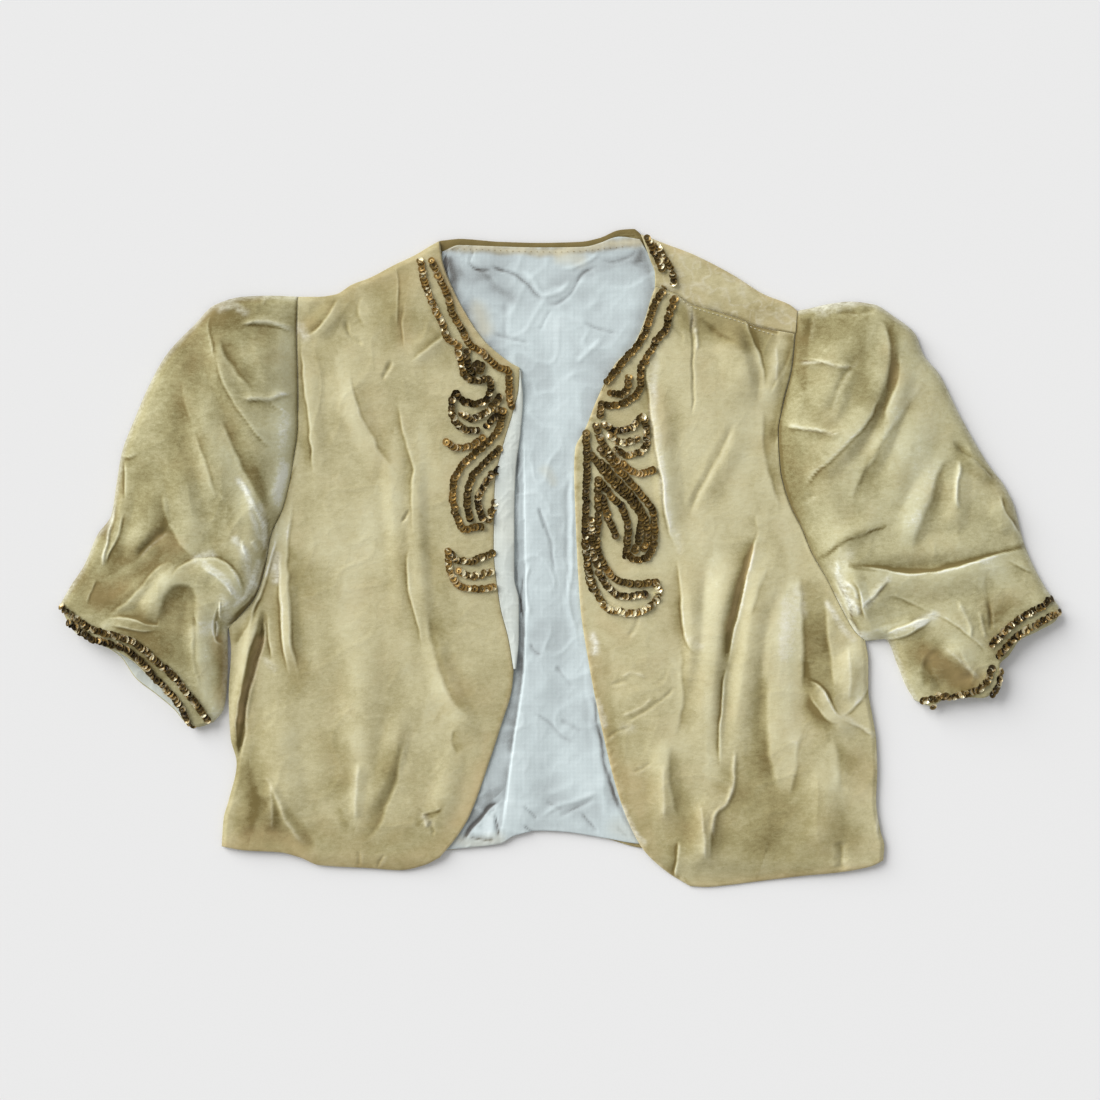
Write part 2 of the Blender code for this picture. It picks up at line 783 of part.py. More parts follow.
def whole_right_armhole():
    """Shares of the right armhole from the fold of the shoulder down."""
    return joined(np.array([0, SHOULDER_SHARE]), below_shoulder_seam())


def make_front_right():
    grid = patch(
        shoulder_seam_points(),
        at_shares(HEM_FRONT_RIGHT, even(FRONT_COLUMNS)),
        at_shares(FRONT_EDGE_RIGHT, even(ARMHOLE_ROWS - 1 + SIDE_ROWS)),
        joined(at_shares(ARMHOLE_RIGHT, below_shoulder_seam()), at_shares(SIDE_RIGHT, even(SIDE_ROWS))),
    )
    top, lowest = front_heights(grid, FRONT_RIGHT_FOLDS, (SIDE_RIGHT,))
    add_sheet("front_right", drawn_in(grid, ("right", "top")), top, FRONT_WALL, "pale gold velvet", lowest)


def make_right_shoulder():
    """Part of the back that is turned over the shoulder, down to the seam."""
    strip = patch(
        at_shares(SHOULDER_TOP_RIGHT, even(FRONT_COLUMNS)),
        shoulder_seam_points(),
        at_shares(NECK_END_RIGHT, even(SHOULDER_ROWS)),
        at_shares(ARMHOLE_RIGHT, SHOULDER_SHARE * even(SHOULDER_ROWS)),
    )
    from_fold = np.broadcast_to(even(SHOULDER_ROWS)[:, None], strip.shape[:2])
    top = SEWN_EDGE_TOP + (FRONT_TOP - SEWN_EDGE_TOP) * step_up(from_fold / SHOULDER_FOLD_SHARE)
    strip = drawn_in(strip, ("right", "bottom"))
    add_sheet("back_shoulder_right", strip, top, FRONT_WALL, "pale gold velvet")


def make_back():
    whole_top = joined(smooth_line(SHOULDER_LEFT), smooth_line(NECK_BACK), smooth_line(SHOULDER_TOP_RIGHT))
    run = run_along(whole_top)
    highest = run[whole_top[:, 1].argmax()] / run[-1]
    shares = even(BACK_COLUMNS)
    top_shares = shares.copy()
    top_shares[np.abs(shares - highest).argmin()] = highest
    side_rows = even(BACK_SIDE_ROWS)
    grid = patch(
        line_at(whole_top, top_shares),
        at_shares(HEM_BACK, shares),
        joined(at_shares(ARMHOLE_LEFT, ARMHOLE_SHARES), at_shares(SIDE_LEFT, side_rows)),
        joined(at_shares(ARMHOLE_RIGHT, whole_right_armhole()), at_shares(SIDE_RIGHT, side_rows)),
    )
    top = np.full(grid.shape[:2], BACK_WALL)
    add_sheet("back", drawn_in(grid, ("left", "right")), top, BACK_WALL, "pale gold velvet")


def make_back_lining():
    """Lining over the back between the fronts, with its tuck folded to the left."""
    rows = even(LINING_ROWS)
    columns = even(LINING_COLUMNS)
    grid = patch(
        at_shares(LINING_TOP, columns),
        at_shares(LINING_HEM, columns),
        at_shares(LINING_LEFT, rows),
        at_shares(LINING_RIGHT, rows),
    )
    gap, along, side = distance_to(smooth_line(TUCK_EDGE, EDGE_SAMPLES), grid[..., 0], grid[..., 1])
    rise = step_up(gap / TUCK_STEEP) * step_up((TUCK_WIDTH - gap) / TUCK_FADE)
    ends = step_up(along / TUCK_FADE_TOP) * step_up((1 - along) / TUCK_FADE_HEM)
    top = LINING_UNDERSIDE + LINING_WALL + TUCK_RISE * np.where(side > 0, rise * ends, 0)
    add_sheet("back_lining", grid, top, LINING_WALL, "pale blue lining")


def relaxed(grid):
    """The grid with its inner lines spread so that none cross, even round a corner that turns inwards."""
    grid = grid.copy()
    for _ in range(RELAX_ROUNDS):
        down = (grid[2:, 1:-1] - grid[:-2, 1:-1]) / 2
        across = (grid[1:-1, 2:] - grid[1:-1, :-2]) / 2
        down_square = (down**2).sum(axis=2, keepdims=True)
        shear = (down * across).sum(axis=2, keepdims=True)
        across_square = (across**2).sum(axis=2, keepdims=True)
        twist = (grid[2:, 2:] - grid[2:, :-2] - grid[:-2, 2:] + grid[:-2, :-2]) / 4
        beside = grid[1:-1, 2:] + grid[1:-1, :-2]
        above = grid[2:, 1:-1] + grid[:-2, 1:-1]
        wanted = down_square * beside + across_square * above - 2 * shear * twist
        wanted = wanted / (2 * (down_square + across_square))
        grid[1:-1, 1:-1] += RELAX_RATE * (wanted - grid[1:-1, 1:-1])
    return grid


def with_round_sides(grid):
    """More columns close to each side, for the sleeve's round edges."""
    near_left = [grid[:, 0] * (1 - share) + grid[:, 1] * share for share in ROUND_SIDE_SHARES]
    near_right = [grid[:, -1] * (1 - share) + grid[:, -2] * share for share in reversed(ROUND_SIDE_SHARES)]
    inner = [grid[:, index] for index in range(1, grid.shape[1] - 1)]
    return np.stack([grid[:, 0], *near_left, *inner, *near_right, grid[:, -1]], axis=1)


def rounded(share):
    """Quarter circle from 0 to 1."""
    return np.sqrt(1 - (1 - np.clip(share, 0, 1)) ** 2)


def sleeve_top(x, y, edges, crown, folds):
    """Height of a sleeve's upper layer: round at its sides, puffed, low at the armhole and the cuff."""
    from_armhole = edge_distance(x, y, edges["armhole"])
    from_cuff = edge_distance(x, y, edges["cuff"])
    from_side = edge_distance(x, y, edges["outer"], edges["inner"])
    table = np.array(crown)
    height = monotone(table[:, 0], table[:, 1], from_armhole / (from_armhole + from_cuff))
    level = FRONT_TOP + (height - FRONT_TOP) * rounded(from_side / SLEEVE_BULGE_WIDTH)
    hold = step_up(from_armhole / FOLDS_FROM_ARMHOLE) * step_up(from_side / FOLDS_FROM_SLEEVE_SIDE)
    hold = hold * (FOLD_SHARE_AT_CUFF + (1 - FOLD_SHARE_AT_CUFF) * step_up(from_cuff / FOLDS_FROM_CUFF))
    level = level + fold_heights(folds, x, y) * hold
    return SLEEVE_EDGE_HEIGHT + (level - SLEEVE_EDGE_HEIGHT) * rounded(from_side / SLEEVE_ROUND_ABOVE)


def make_sleeve(name, edges, shares, crown, folds):
    """Flattened tube: rings from the armhole to the cuff, each with an upper and a lower layer."""
    layers = []
    for cuff in ("cuff", "cuff under"):
        grid = patch(
            at_shares(edges["armhole"], shares),
            at_shares(edges[cuff], even(len(shares) - 1)),
            at_shares(edges["outer"], SLEEVE_SHARES),
            at_shares(edges["inner"], SLEEVE_SHARES),
        )
        layers.append(drawn_in(with_round_sides(relaxed(grid)), ("top",)))
    upper, lower = layers
    upper_z = sleeve_top(upper[..., 0], upper[..., 1], edges, crown, folds)
    from_side = edge_distance(lower[..., 0], lower[..., 1], edges["outer"], edges["inner"])
    lower_z = SLEEVE_EDGE_HEIGHT * (1 - rounded(from_side / SLEEVE_ROUND_BELOW))
    upper = np.dstack([upper, upper_z])
    lower = np.dstack([lower, lower_z])
    rings = np.concatenate([upper, lower[:, -2:0:-1]], axis=1)
    add_tube(name, rings, SLEEVE_WALL, "pale gold velvet")


def make_cuff_lining():
    """Lining on the lower layer of the left sleeve, past the upper layer's cuff."""
    shares = CUFF_LINING_FROM + (CUFF_LINING_TO - CUFF_LINING_FROM) * even(CUFF_LINING_COLUMNS)
    edge = at_shares(CUFF_LEFT_UNDER, shares)
    inward = np.array(CUFF_LINING_WAY)
    deep = edge + CUFF_LINING_DEPTH * inward
    near = edge + CUFF_LINING_INSET * inward
    grid = between(deep, near, CUFF_LINING_ROWS).transpose(1, 0, 2)
    top = np.full(grid.shape[:2], LINING_UNDERSIDE + LINING_WALL)
    add_sheet("sleeve_lining_left", grid, top, LINING_WALL, "pale blue lining")


for old in list(bpy.data.objects):
    bpy.data.objects.remove(old)
parts = bpy.data.collections.new("velvet shrug")
bpy.context.scene.collection.children.link(parts)
garment = bpy.data.objects.new("garment", None)
parts.objects.link(garment)

make_back()
make_back_lining()
make_front_left()
make_turned_strip()
make_front_right()
make_right_shoulder()
make_sleeve("sleeve_left", SLEEVE_LEFT_EDGES, ARMHOLE_SHARES, CROWN_LEFT, SLEEVE_LEFT_FOLDS)
make_sleeve("sleeve_right", SLEEVE_RIGHT_EDGES, whole_right_armhole(), CROWN_RIGHT, SLEEVE_RIGHT_FOLDS)
make_cuff_lining()
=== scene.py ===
from math import radians

import bmesh
import bpy
import numpy as np
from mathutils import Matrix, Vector
from mathutils.bvhtree import BVHTree


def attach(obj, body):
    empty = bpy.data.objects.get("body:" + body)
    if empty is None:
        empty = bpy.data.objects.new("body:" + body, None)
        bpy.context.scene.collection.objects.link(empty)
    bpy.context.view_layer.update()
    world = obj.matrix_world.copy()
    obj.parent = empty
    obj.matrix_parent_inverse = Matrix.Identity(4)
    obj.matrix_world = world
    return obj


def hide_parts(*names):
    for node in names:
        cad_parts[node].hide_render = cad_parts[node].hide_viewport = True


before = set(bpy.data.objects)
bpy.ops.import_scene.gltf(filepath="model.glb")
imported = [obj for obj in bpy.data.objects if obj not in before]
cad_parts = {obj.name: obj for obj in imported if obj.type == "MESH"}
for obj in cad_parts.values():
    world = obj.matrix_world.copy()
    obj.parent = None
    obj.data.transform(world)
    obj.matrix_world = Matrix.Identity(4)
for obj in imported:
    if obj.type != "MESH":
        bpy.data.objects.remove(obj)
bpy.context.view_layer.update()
mm = 0.001
fineness = 1.0

# Shader sockets that can be used in plain sums


class Value:
    def __init__(self, book, socket):
        self.book = book
        self.socket = socket

    def withMath(self, operation, *others):
        sockets = dict(enumerate((self, *others)))
        return self.book.add("Math", {"operation": operation}, sockets)

    def __add__(self, other):
        return self.withMath("ADD", other)

    def __radd__(self, other):
        return self.withMath("ADD", other)

    def __sub__(self, other):
        return self.withMath("SUBTRACT", other)

    def __rsub__(self, other):
        return self.book.add("Math", {"operation": "SUBTRACT"}, {0: other, 1: self})

    def __mul__(self, other):
        return self.withMath("MULTIPLY", other)

    def __rmul__(self, other):
        return self.withMath("MULTIPLY", other)

    def clamped(self):
        return self.book.add("Clamp", {}, {"Value": self})


class NodeBook:
    def __init__(self, name):
        self.material = bpy.data.materials.new(name)
        self.material.use_nodes = True
        self.tree = self.material.node_tree
        self.tree.nodes.clear()
        self.place = self.add("TexCoord", output="Object")

    def add(self, kind, settings=None, sockets=None, output=0):
        node = self.tree.nodes.new("ShaderNode" + kind)
        for setting, value in (settings or {}).items():
            if setting == "stops":
                self.fillRamp(node.color_ramp, value)
            else:
                setattr(node, setting, value)
        for name, value in (sockets or {}).items():
            if isinstance(value, Value):
                self.tree.links.new(value.socket, node.inputs[name])
            else:
                node.inputs[name].default_value = value
        return Value(self, node.outputs[output])

    def fillRamp(self, ramp, stops):
        while len(ramp.elements) < len(stops):
            ramp.elements.new(1.0)
        for element, (place, colour) in zip(ramp.elements, stops):
            element.position = place
            element.color = (*colour, 1.0)

    def blend(self, mask, first, second):
        chosen = {"data_type": "RGBA", "clamp_factor": True}
        return self.add("Mix", chosen, {0: mask, 6: asColour(first), 7: asColour(second)}, output=2)

    def noise(self, scale, detail, roughness=0.5, place=None):
        sockets = {"Vector": place or self.place, "Scale": scale, "Detail": detail, "Roughness": roughness}
        return self.add("TexNoise", {}, sockets)

    def reading(self, name):
        return self.add("Attribute", {"attribute_name": name}, output="Fac")

    def finish(self, sockets):
        shader = self.add("BsdfPrincipled", {}, sockets)
        end = self.tree.nodes.new("ShaderNodeOutputMaterial")
        self.tree.links.new(shader.socket, end.inputs["Surface"])
        return self.material


def asColour(value):
    return value if isinstance(value, Value) else (*value, 1.0)


def screen(red, green, blue):  # colour as a screen shows it, 0 to 255, to linear light
    shares = [part / 255 for part in (red, green, blue)]
    return tuple(share / 12.92 if share < 0.04045 else ((share + 0.055) / 1.055) ** 2.4 for share in shares)


# Lines, patches and distances. Sizes are in millimetres until a mesh is written.


def cubicBetween(values, tangent, place, step, share):  # curve through two known values and slopes
    return (
        values[place] * (1 + 2 * share) * (1 - share) ** 2
        + tangent[place] * step * share * (1 - share) ** 2
        + values[place + 1] * share**2 * (3 - 2 * share)
        + tangent[place + 1] * step * share**2 * (share - 1)
    )


def cubicAlong(known, values, wanted):  # smooth curve through values, for any number of columns
    values = np.asarray(values, dtype=float)
    shape = (-1,) + (1,) * (values.ndim - 1)
    tangent = np.gradient(values, known, axis=0)
    place = np.clip(np.searchsorted(known, wanted, side="right") - 1, 0, len(known) - 2)
    step = (known[place + 1] - known[place]).reshape(shape)
    share = ((wanted - known[place]) / (known[place + 1] - known[place])).reshape(shape)
    return cubicBetween(values, tangent, place, step, share)


def monotone(known, values, wanted):  # cubic that never overshoots between two values
    step = np.diff(known)
    slope = np.diff(values) / step
    tangent = np.zeros(len(values))
    sameWay = slope[:-1] * slope[1:] > 0
    before = slope[:-1][sameWay]
    after = slope[1:][sameWay]
    tangent[1:-1][sameWay] = 2 * before * after / (before + after)
    tangent[0] = slope[0]
    tangent[-1] = slope[-1]
    place = np.clip(np.searchsorted(known, wanted, side="right") - 1, 0, len(step) - 1)
    share = (wanted - known[place]) / step[place]
    return cubicBetween(values, tangent, place, step[place], share)


def runAlong(line):
    return np.concatenate([[0], np.cumsum(np.linalg.norm(np.diff(line, axis=0), axis=1))])


def lineAt(line, shares):
    run = runAlong(line)
    places = np.asarray(shares) * run[-1]
    return np.stack([np.interp(places, run, line[:, axis]) for axis in range(2)], axis=1)


def smoothLine(points, samples=600):
    table = np.array(points, dtype=float)
    run = runAlong(table)
    fine = np.linspace(0, run[-1], samples)
    dense = np.stack([monotone(run, table[:, 0], fine), monotone(run, table[:, 1], fine)], axis=1)
    return lineAt(dense, np.linspace(0, 1, samples))


def atShares(points, shares):
    return lineAt(smoothLine(points), shares)


def even(count):
    return np.linspace(0, 1, count + 1)


def joined(*stretches):
    return np.concatenate([stretches[0]] + [stretch[1:] for stretch in stretches[1:]])


def between(first, second, count):
    across = even(count)[None, :, None]
    return (1 - across) * first[:, None] + across * second[:, None]


def patch(top, bottom, left, right):  # grid spanned by four edge lines, rows running down
    return patchOver(top, bottom, left, right, even(len(left) - 1), even(len(top) - 1))


def patchOver(top, bottom, left, right, rows, columns):  # the same at uneven shares down and across
    down = rows[:, None, None]
    across = columns[None, :, None]
    corners = (
        (1 - across) * (1 - down) * top[0]
        + across * (1 - down) * top[-1]
        + (1 - across) * down * bottom[0]
        + across * down * bottom[-1]
    )
    sides = (1 - across) * left[:, None] + across * right[:, None]
    return (1 - down) * top[None] + down * bottom[None] + sides - corners


def stepUp(value):
    value = np.clip(value, 0, 1)
    return value * value * (3 - 2 * value)


def fading(gap, reach):  # 1 at a line, falling smoothly to 0 at this distance from it
    return 1 - stepUp(gap / reach)


def rounded(share):  # quarter circle from 0 to 1
    return np.sqrt(1 - (1 - np.clip(share, 0, 1)) ** 2)


def distanceTo(line, x, y):  # distance, share along the line, and side (left of its way is positive)
    best = np.full(x.shape, np.inf)
    along = np.zeros(x.shape)
    side = np.zeros(x.shape)
    last = len(line) - 1
    for index in range(last):
        start = line[index]
        way = line[index + 1] - start
        length = float(way @ way)
        share = np.clip(((x - start[0]) * way[0] + (y - start[1]) * way[1]) / length, 0, 1)
        gapX = x - start[0] - share * way[0]
        gapY = y - start[1] - share * way[1]
        gap = np.hypot(gapX, gapY)
        nearer = gap < best
        best = np.where(nearer, gap, best)
        along = np.where(nearer, (index + share) / last, along)
        side = np.where(nearer, way[0] * gapY - way[1] * gapX, side)
    return best, along, side


def edgeDistance(x, y, *tables):
    return np.min([distanceTo(smoothLine(table, 60), x, y)[0] for table in tables], axis=0)


def nearLine(line, x, y, reach):  # which points lie within this reach of the line's box
    low = line.min(axis=0) - reach
    high = line.max(axis=0) + reach
    return (x > low[0]) & (x < high[0]) & (y > low[1]) & (y < high[1])


def tapered(along, share):  # 1 along the middle of a line, falling to 0 over this share at each end
    return stepUp(along / share) * stepUp((1 - along) / share)


# Relief of the cloth: broad rolls, sharp creases and small crumples


def cloud(x, y, size, seed):  # smooth random field from -1 to 1 with features of this size
    lattice = np.random.default_rng(seed).uniform(-1, 1, (97, 97))
    column = x / size + 48.3
    row = y / size + 48.7
    left = np.floor(column).astype(int)
    low = np.floor(row).astype(int)
    across = stepUp(column - left)
    up = stepUp(row - low)
    left = left % 96
    low = low % 96
    return (
        lattice[low, left] * (1 - across) * (1 - up)
        + lattice[low, left + 1] * across * (1 - up)
        + lattice[low + 1, left] * (1 - across) * up
        + lattice[low + 1, left + 1] * across * up
    )


def crumple(x, y, size, seed):  # small ridges where a random field changes sign
    bendX = x + 0.7 * size * cloud(x, y, 1.6 * size, seed + 1)
    bendY = y + 0.7 * size * cloud(x, y, 1.6 * size, seed + 2)
    ridge = 1 - np.abs(cloud(bendX, bendY, size, seed)) * 2.2
    return np.clip(ridge, 0, 1) ** 2


def rollHeights(table, x, y):  # broad folds; where two cross, the higher one leads
    cubes = np.zeros(x.shape)
    share = even(24)[:, None]
    for height, left, right, *points in table:
        start, middle, end = np.array(points, dtype=float)
        pull = 2 * middle - (start + end) / 2
        line = (1 - share) ** 2 * start + 2 * share * (1 - share) * pull + share**2 * end
        gap, along, side = distanceTo(line, x, y)
        reach = 1.45 * np.where(side > 0, left, right)
        bump = 0.5 + 0.5 * np.cos(np.pi * np.clip(gap / reach, 0, 1))
        taper = tapered(along, 0.35)
        cubes += (0.62 * height * bump * taper) ** 3
    return np.cbrt(cubes)


lightWay = np.array([-0.77, 0.64])  # towards the light, seen from above


def litShare(line, along, side):  # -1 to 1: how far a point lies on the lit side of a line
    ways = np.diff(line, axis=0)
    normals = np.stack([-ways[:, 1], ways[:, 0]], axis=1) / np.linalg.norm(ways, axis=1, keepdims=True)
    nearest = np.minimum((along * len(ways)).astype(int), len(ways) - 1)
    return np.sign(side) * (normals[nearest] @ lightWay)


def creaseRelief(table, x, y):  # rise in millimetres, and the painted light and shade along each crease
    rise = np.zeros(x.shape)
    light = np.zeros(x.shape)
    wanderX = x + 0.9 * cloud(x, y, 9, 71)
    wanderY = y + 0.9 * cloud(x, y, 9, 72)
    for order, (height, left, right, paintedHighlight, *points) in enumerate(table):
        line = smoothLine(points, 36)
        reach = max(left, right) * 1.3 + 2
        near = nearLine(line, wanderX, wanderY, reach)
        if not near.any():
            continue
        gap, along, side = distanceTo(line, wanderX[near], wanderY[near])
        width = 1.1 + 0.35 * cloud(along * 60, along * 0, 9, 300 + order)
        share = np.clip(gap / (width * np.where(side > 0, left, right)), 0, 1)
        bump = (1 - share) ** 2 * (1 + share)
        taper = tapered(along, 0.2)
        strength = 1 + 0.3 * cloud(along * 60, along * 0, 14, 200 + order)
        rise[near] += height * bump * taper * strength
        # painted light and shade: a raised crease is painted light along its crest and dark behind it, a
        # valley the other way round
        creaseShading = paintedHighlight if height > 0 else 0.11 * height
        lit = litShare(line, along, side)
        core = np.exp(-((gap / 1.25) ** 2))
        behind = np.exp(-(((gap - 2.1) / 1.2) ** 2)) * np.clip(-lit, 0, 1)
        glow = bump * (0.5 + 0.5 * lit)
        tone = creaseShading * (0.7 * core + 0.3 * glow) - np.sign(creaseShading) * (0.06 + 0.3 * abs(creaseShading)) * behind
        light[near] += tone * taper * strength
    return rise, np.clip(light, -0.5, 0.6)


def foldRelief(table, x, y):  # a lip along each line, lit on one side and shaded on the other
    rise = np.zeros(x.shape)
    light = np.zeros(x.shape)
    wanderX = x + 0.8 * cloud(x, y, 8, 73)
    wanderY = y + 0.8 * cloud(x, y, 8, 74)
    for order, (amount, reach, *points) in enumerate(table):
        line = smoothLine(points, 30)
        near = nearLine(line, wanderX, wanderY, 3 * reach + 4)
        if not near.any():
            continue
        gap, along, side = distanceTo(line, wanderX[near], wanderY[near])
        soft = np.clip(reach * (0.33 - 0.3 * abs(amount)), 0.9, 2.8)
        dark = stepUp(0.5 + 0.5 * gap * np.sign(side * amount) / soft)
        taper = tapered(along, 0.24)
        size = abs(amount) * taper * (1 + 0.45 * cloud(along * 60, along * 0, 11, 400 + order))
        thin = 0.6 * np.exp(-(((gap - 0.8) / 0.9) ** 2)) * np.exp(-((soft / 1.8) ** 2))
        shade = -0.75 * np.exp(-gap / reach) - thin
        rim = 0.32 * np.exp(-gap / (0.8 * reach)) + thin
        low = -1.1 * np.exp(-gap / reach)
        high = 1.6 * np.exp(-gap / (0.6 * reach + 1.2))
        rise[near] += size * (dark * low + (1 - dark) * high)
        # painted shade on the far side of the lip and painted highlight on its lit side
        light[near] += size * (dark * shade + (1 - dark) * rim)
    return rise, np.clip(light, -0.6, 0.5)


def puckers(table, x, y, size, reach, seed):  # pattern of small gathers that run in from a sewn edge; it is used only as painted light and shade
    line = smoothLine(table, 90)
    gap, along, _ = distanceTo(line, x, y)
    run = along * runAlong(line)[-1] + 0.35 * gap
    ridge = 0.6 * cloud(run, 0 * run, size, seed) + 0.4 * cloud(run, gap, 0.45 * size, seed + 1)
    return ridge * (1 - stepUp(gap / (reach * (0.7 + 0.5 * cloud(run, 0 * run, 2.3 * size, seed + 2)))))


def blurred(values, reach):  # three passes of a running mean over rows and columns
    for _ in range(3):
        for axis in (0, 1):
            padding = [(reach + 1, reach) if index == axis else (0, 0) for index in range(2)]
            total = np.cumsum(np.pad(values, padding, mode="edge"), axis=axis)
            length = values.shape[axis]
            high = np.take(total, np.arange(2 * reach + 1, 2 * reach + 1 + length), axis=axis)
            low = np.take(total, np.arange(0, length), axis=axis)
            values = (high - low) / (2 * reach + 1)
    return values


# Meshes


def drawnIn(grid, amount, sides=("left", "right", "top", "bottom")):
    moved = grid.copy()
    edgeOf = {
        "left": (np.s_[:, 0], np.s_[:, 2]),
        "right": (np.s_[:, -1], np.s_[:, -3]),
        "top": (np.s_[0, :], np.s_[2, :]),
        "bottom": (np.s_[-1, :], np.s_[-3, :]),
    }
    for side in sides:
        edge, inner = edgeOf[side]
        way = grid[inner] - grid[edge]
        moved[edge] += way / np.linalg.norm(way, axis=1, keepdims=True) * amount
    return moved


def rimmed(grid, values, profile):  # edge rows turned over and under, following (outwards, down) steps
    dropped = np.zeros(grid.shape[:2])
    for axis in (1, 0):
        grid = np.swapaxes(grid, 0, 1) if axis == 1 else grid
        values = [np.swapaxes(value, 0, 1) for value in values] if axis == 1 else values
        dropped = np.swapaxes(dropped, 0, 1) if axis == 1 else dropped
        outer = []
        for edge, inner in ((0, 3), (-1, -4)):
            way = grid[edge, :, :2] - grid[inner, :, :2]
            way = way / np.maximum(np.linalg.norm(way, axis=1, keepdims=True), 1e-6)
            rows = []
            for outwards, down in profile:
                row = grid[edge].copy()
                row[:, :2] += way * outwards
                rows.append((row, np.maximum(dropped[edge], down)))
            outer.append(rows)
        before = outer[0][::-1]
        after = outer[1]
        grid = np.concatenate([[row for row, _ in before], grid, [row for row, _ in after]])
        dropped = np.concatenate([[drop for _, drop in before], dropped, [drop for _, drop in after]])
        count = len(profile)
        values = [np.pad(value, ((count, count), (0, 0)), mode="edge") for value in values]
        if axis == 1:
            grid = np.swapaxes(grid, 0, 1)
            values = [np.swapaxes(value, 0, 1) for value in values]
            dropped = np.swapaxes(dropped, 0, 1)
    grid[..., 2] = np.maximum(grid[..., 2] - dropped, 0.25)
    return grid, values


def fineCount(count):
    return max(8, int(count * fineness))


def shown(name, mesh, material):
    mesh.materials.append(material)
    piece = bpy.data.objects.new(name, mesh)
    bpy.context.scene.collection.objects.link(piece)
    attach(piece, "root")
    return piece


def gridPiece(settings, points, readings, material, closed=False):  # rows run down
    name = settings["name"]
    rows, columns = points.shape[:2]
    cloth = bmesh.new()
    bmesh.ops.create_grid(cloth, x_segments=columns - 1, y_segments=rows - 1)
    mesh = bpy.data.meshes.new(name)
    cloth.to_mesh(mesh)
    mesh.vertices.foreach_set("co", (points[::-1] * mm).astype(np.float32).reshape(-1))
    for reading, values in readings.items():
        layer = mesh.attributes.new(reading, "FLOAT", "POINT")
        layer.data.foreach_set("value", values[::-1].astype(np.float32).reshape(-1))
    if closed:
        cloth.clear()
        cloth.from_mesh(mesh)
        bmesh.ops.remove_doubles(cloth, verts=cloth.verts, dist=0.00001)
        bmesh.ops.recalc_face_normals(cloth, faces=cloth.faces)
        cloth.to_mesh(mesh)
    cloth.free()
    mesh.shade_smooth()
    piece = shown(name, mesh, material)
    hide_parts(settings["node"])
    print(name, "made")
    return piece


def sheetPiece(settings, grid, top, readings, material):  # a sheet with its edges turned under
    points, values = rimmed(np.dstack([grid, top]), list(readings.values()), settings["rim"])
    return gridPiece(settings, points, dict(zip(readings, values)), material)


def surfaceOf(piece):  # finds height and facing of a piece below a point
    mesh = piece.data
    places = [vertex.co.copy() for vertex in mesh.vertices]
    faces = [tuple(face.vertices) for face in mesh.polygons]
    return BVHTree.FromPolygons(places, faces)


def onSurface(surfaces, x, y):  # highest of the pieces there, in metres
    best = None
    for surface in surfaces:
        place, normal, _, _ = surface.ray_cast(Vector((x, y, 0.2)), Vector((0, 0, -1)))
        if place is not None and (best is None or place.z > best[0].z):
            best = (place, normal if normal.z > 0 else -normal)
    return best


# Outlines of the cut pieces, each a smooth line through points (x, y)
shoulderLeft = (
    (-198.7, 198.4), (-183.5, 198.4), (-169.9, 200.2), (-157.7, 207.5), (-144, 212.8), (-125, 222.7),
    (-109.1, 230.3), (-97.7, 237.2), (-90.8, 240.9),
)
neckBack = (
    (-90.8, 240.9), (-75.6, 242.4), (-45.2, 240.2), (-14.8, 239.4), (15.6, 240.2), (30.8, 243.2),
    (46, 249.3), (56.6, 250), (61.9, 245.5),
)
shoulderTopRight = (
    (61.9, 245.5), (81.7, 237.9), (101.5, 230.3), (131.1, 215.1), (155.4, 199.9), (174.4, 192.3),
    (180.5, 187.7),
)
shoulderSeamRight = (
    (72.6, 206), (88.5, 200.6), (99.9, 192.8), (118.2, 187.5), (137.2, 181.4), (149.3, 175.8), (165, 171),
)
neckEndRight = (
    (61.9, 245.5), (68.8, 226.5), (72.6, 215.1), (72.6, 206),
)
armholeLeft = (
    (-198.7, 198.4), (-199.5, 170.2), (-198.7, 127.7), (-198.7, 101.1), (-201.8, 74.5), (-209.4, 39.5),
    (-219.3, 16), (-223.1, -5.3), (-229.9, -27.4), (-242.8, -44.1), (-251.2, -52.4),
)
armholeRight = (
    (180.5, 187.7), (179, 169.5), (176.7, 145.9), (169.9, 117), (166.1, 95), (167.6, 68.4), (174.4, 41.8),
    (184.3, 21.3), (191.1, 4.6), (203.3, -16.7), (213.9, -38), (224.6, -56.2), (232.2, -63.1),
)
sideLeft = (
    (-251.2, -52.4), (-249.4, -69.9), (-251.2, -104.1), (-249.7, -136), (-245.1, -155.8), (-251.2, -183.9),
    (-255, -197.6), (-256.5, -218.9),
)
sideRight = (
    (232.2, -63.1), (234.5, -77.5), (234.5, -100.3), (237.5, -119.3), (240.5, -138.3), (241.3, -161.1),
    (240.5, -183.9), (243.6, -206.7), (246.6, -218.1), (245.9, -229.5),
)
necklineLeft = (
    (-90.8, 240.9), (-88.5, 225), (-82.5, 208.2), (-72.6, 188.5), (-56.6, 164.9), (-36.9, 148.2),
    (-30, 144.4),
)
sewnEdgeLeft = (
    (-30, 144.4), (-30.8, 129.2), (-35.3, 110.2), (-42.9, 84.4), (-49, 55.5), (-49.8, 9.9), (-45.2, -34.2),
    (-38.4, -62.3), (-34.6, -85.9),
)
turnedEdgeLeft = (
    (-30, 144.4), (-27.7, 120.8), (-29.3, 97.3), (-33.1, 66.9), (-34.2, 34.2), (-34.2, -14.4),
    (-30.8, -32.7), (-30.8, -59.3), (-33, -85.9),
)
lowerEdgeLeft = (
    (-34.6, -85.9), (-36.1, -100.3), (-42.9, -123.1), (-52.8, -153.5), (-68, -195.3), (-77.1, -210.5),
    (-90.8, -227.2),
)
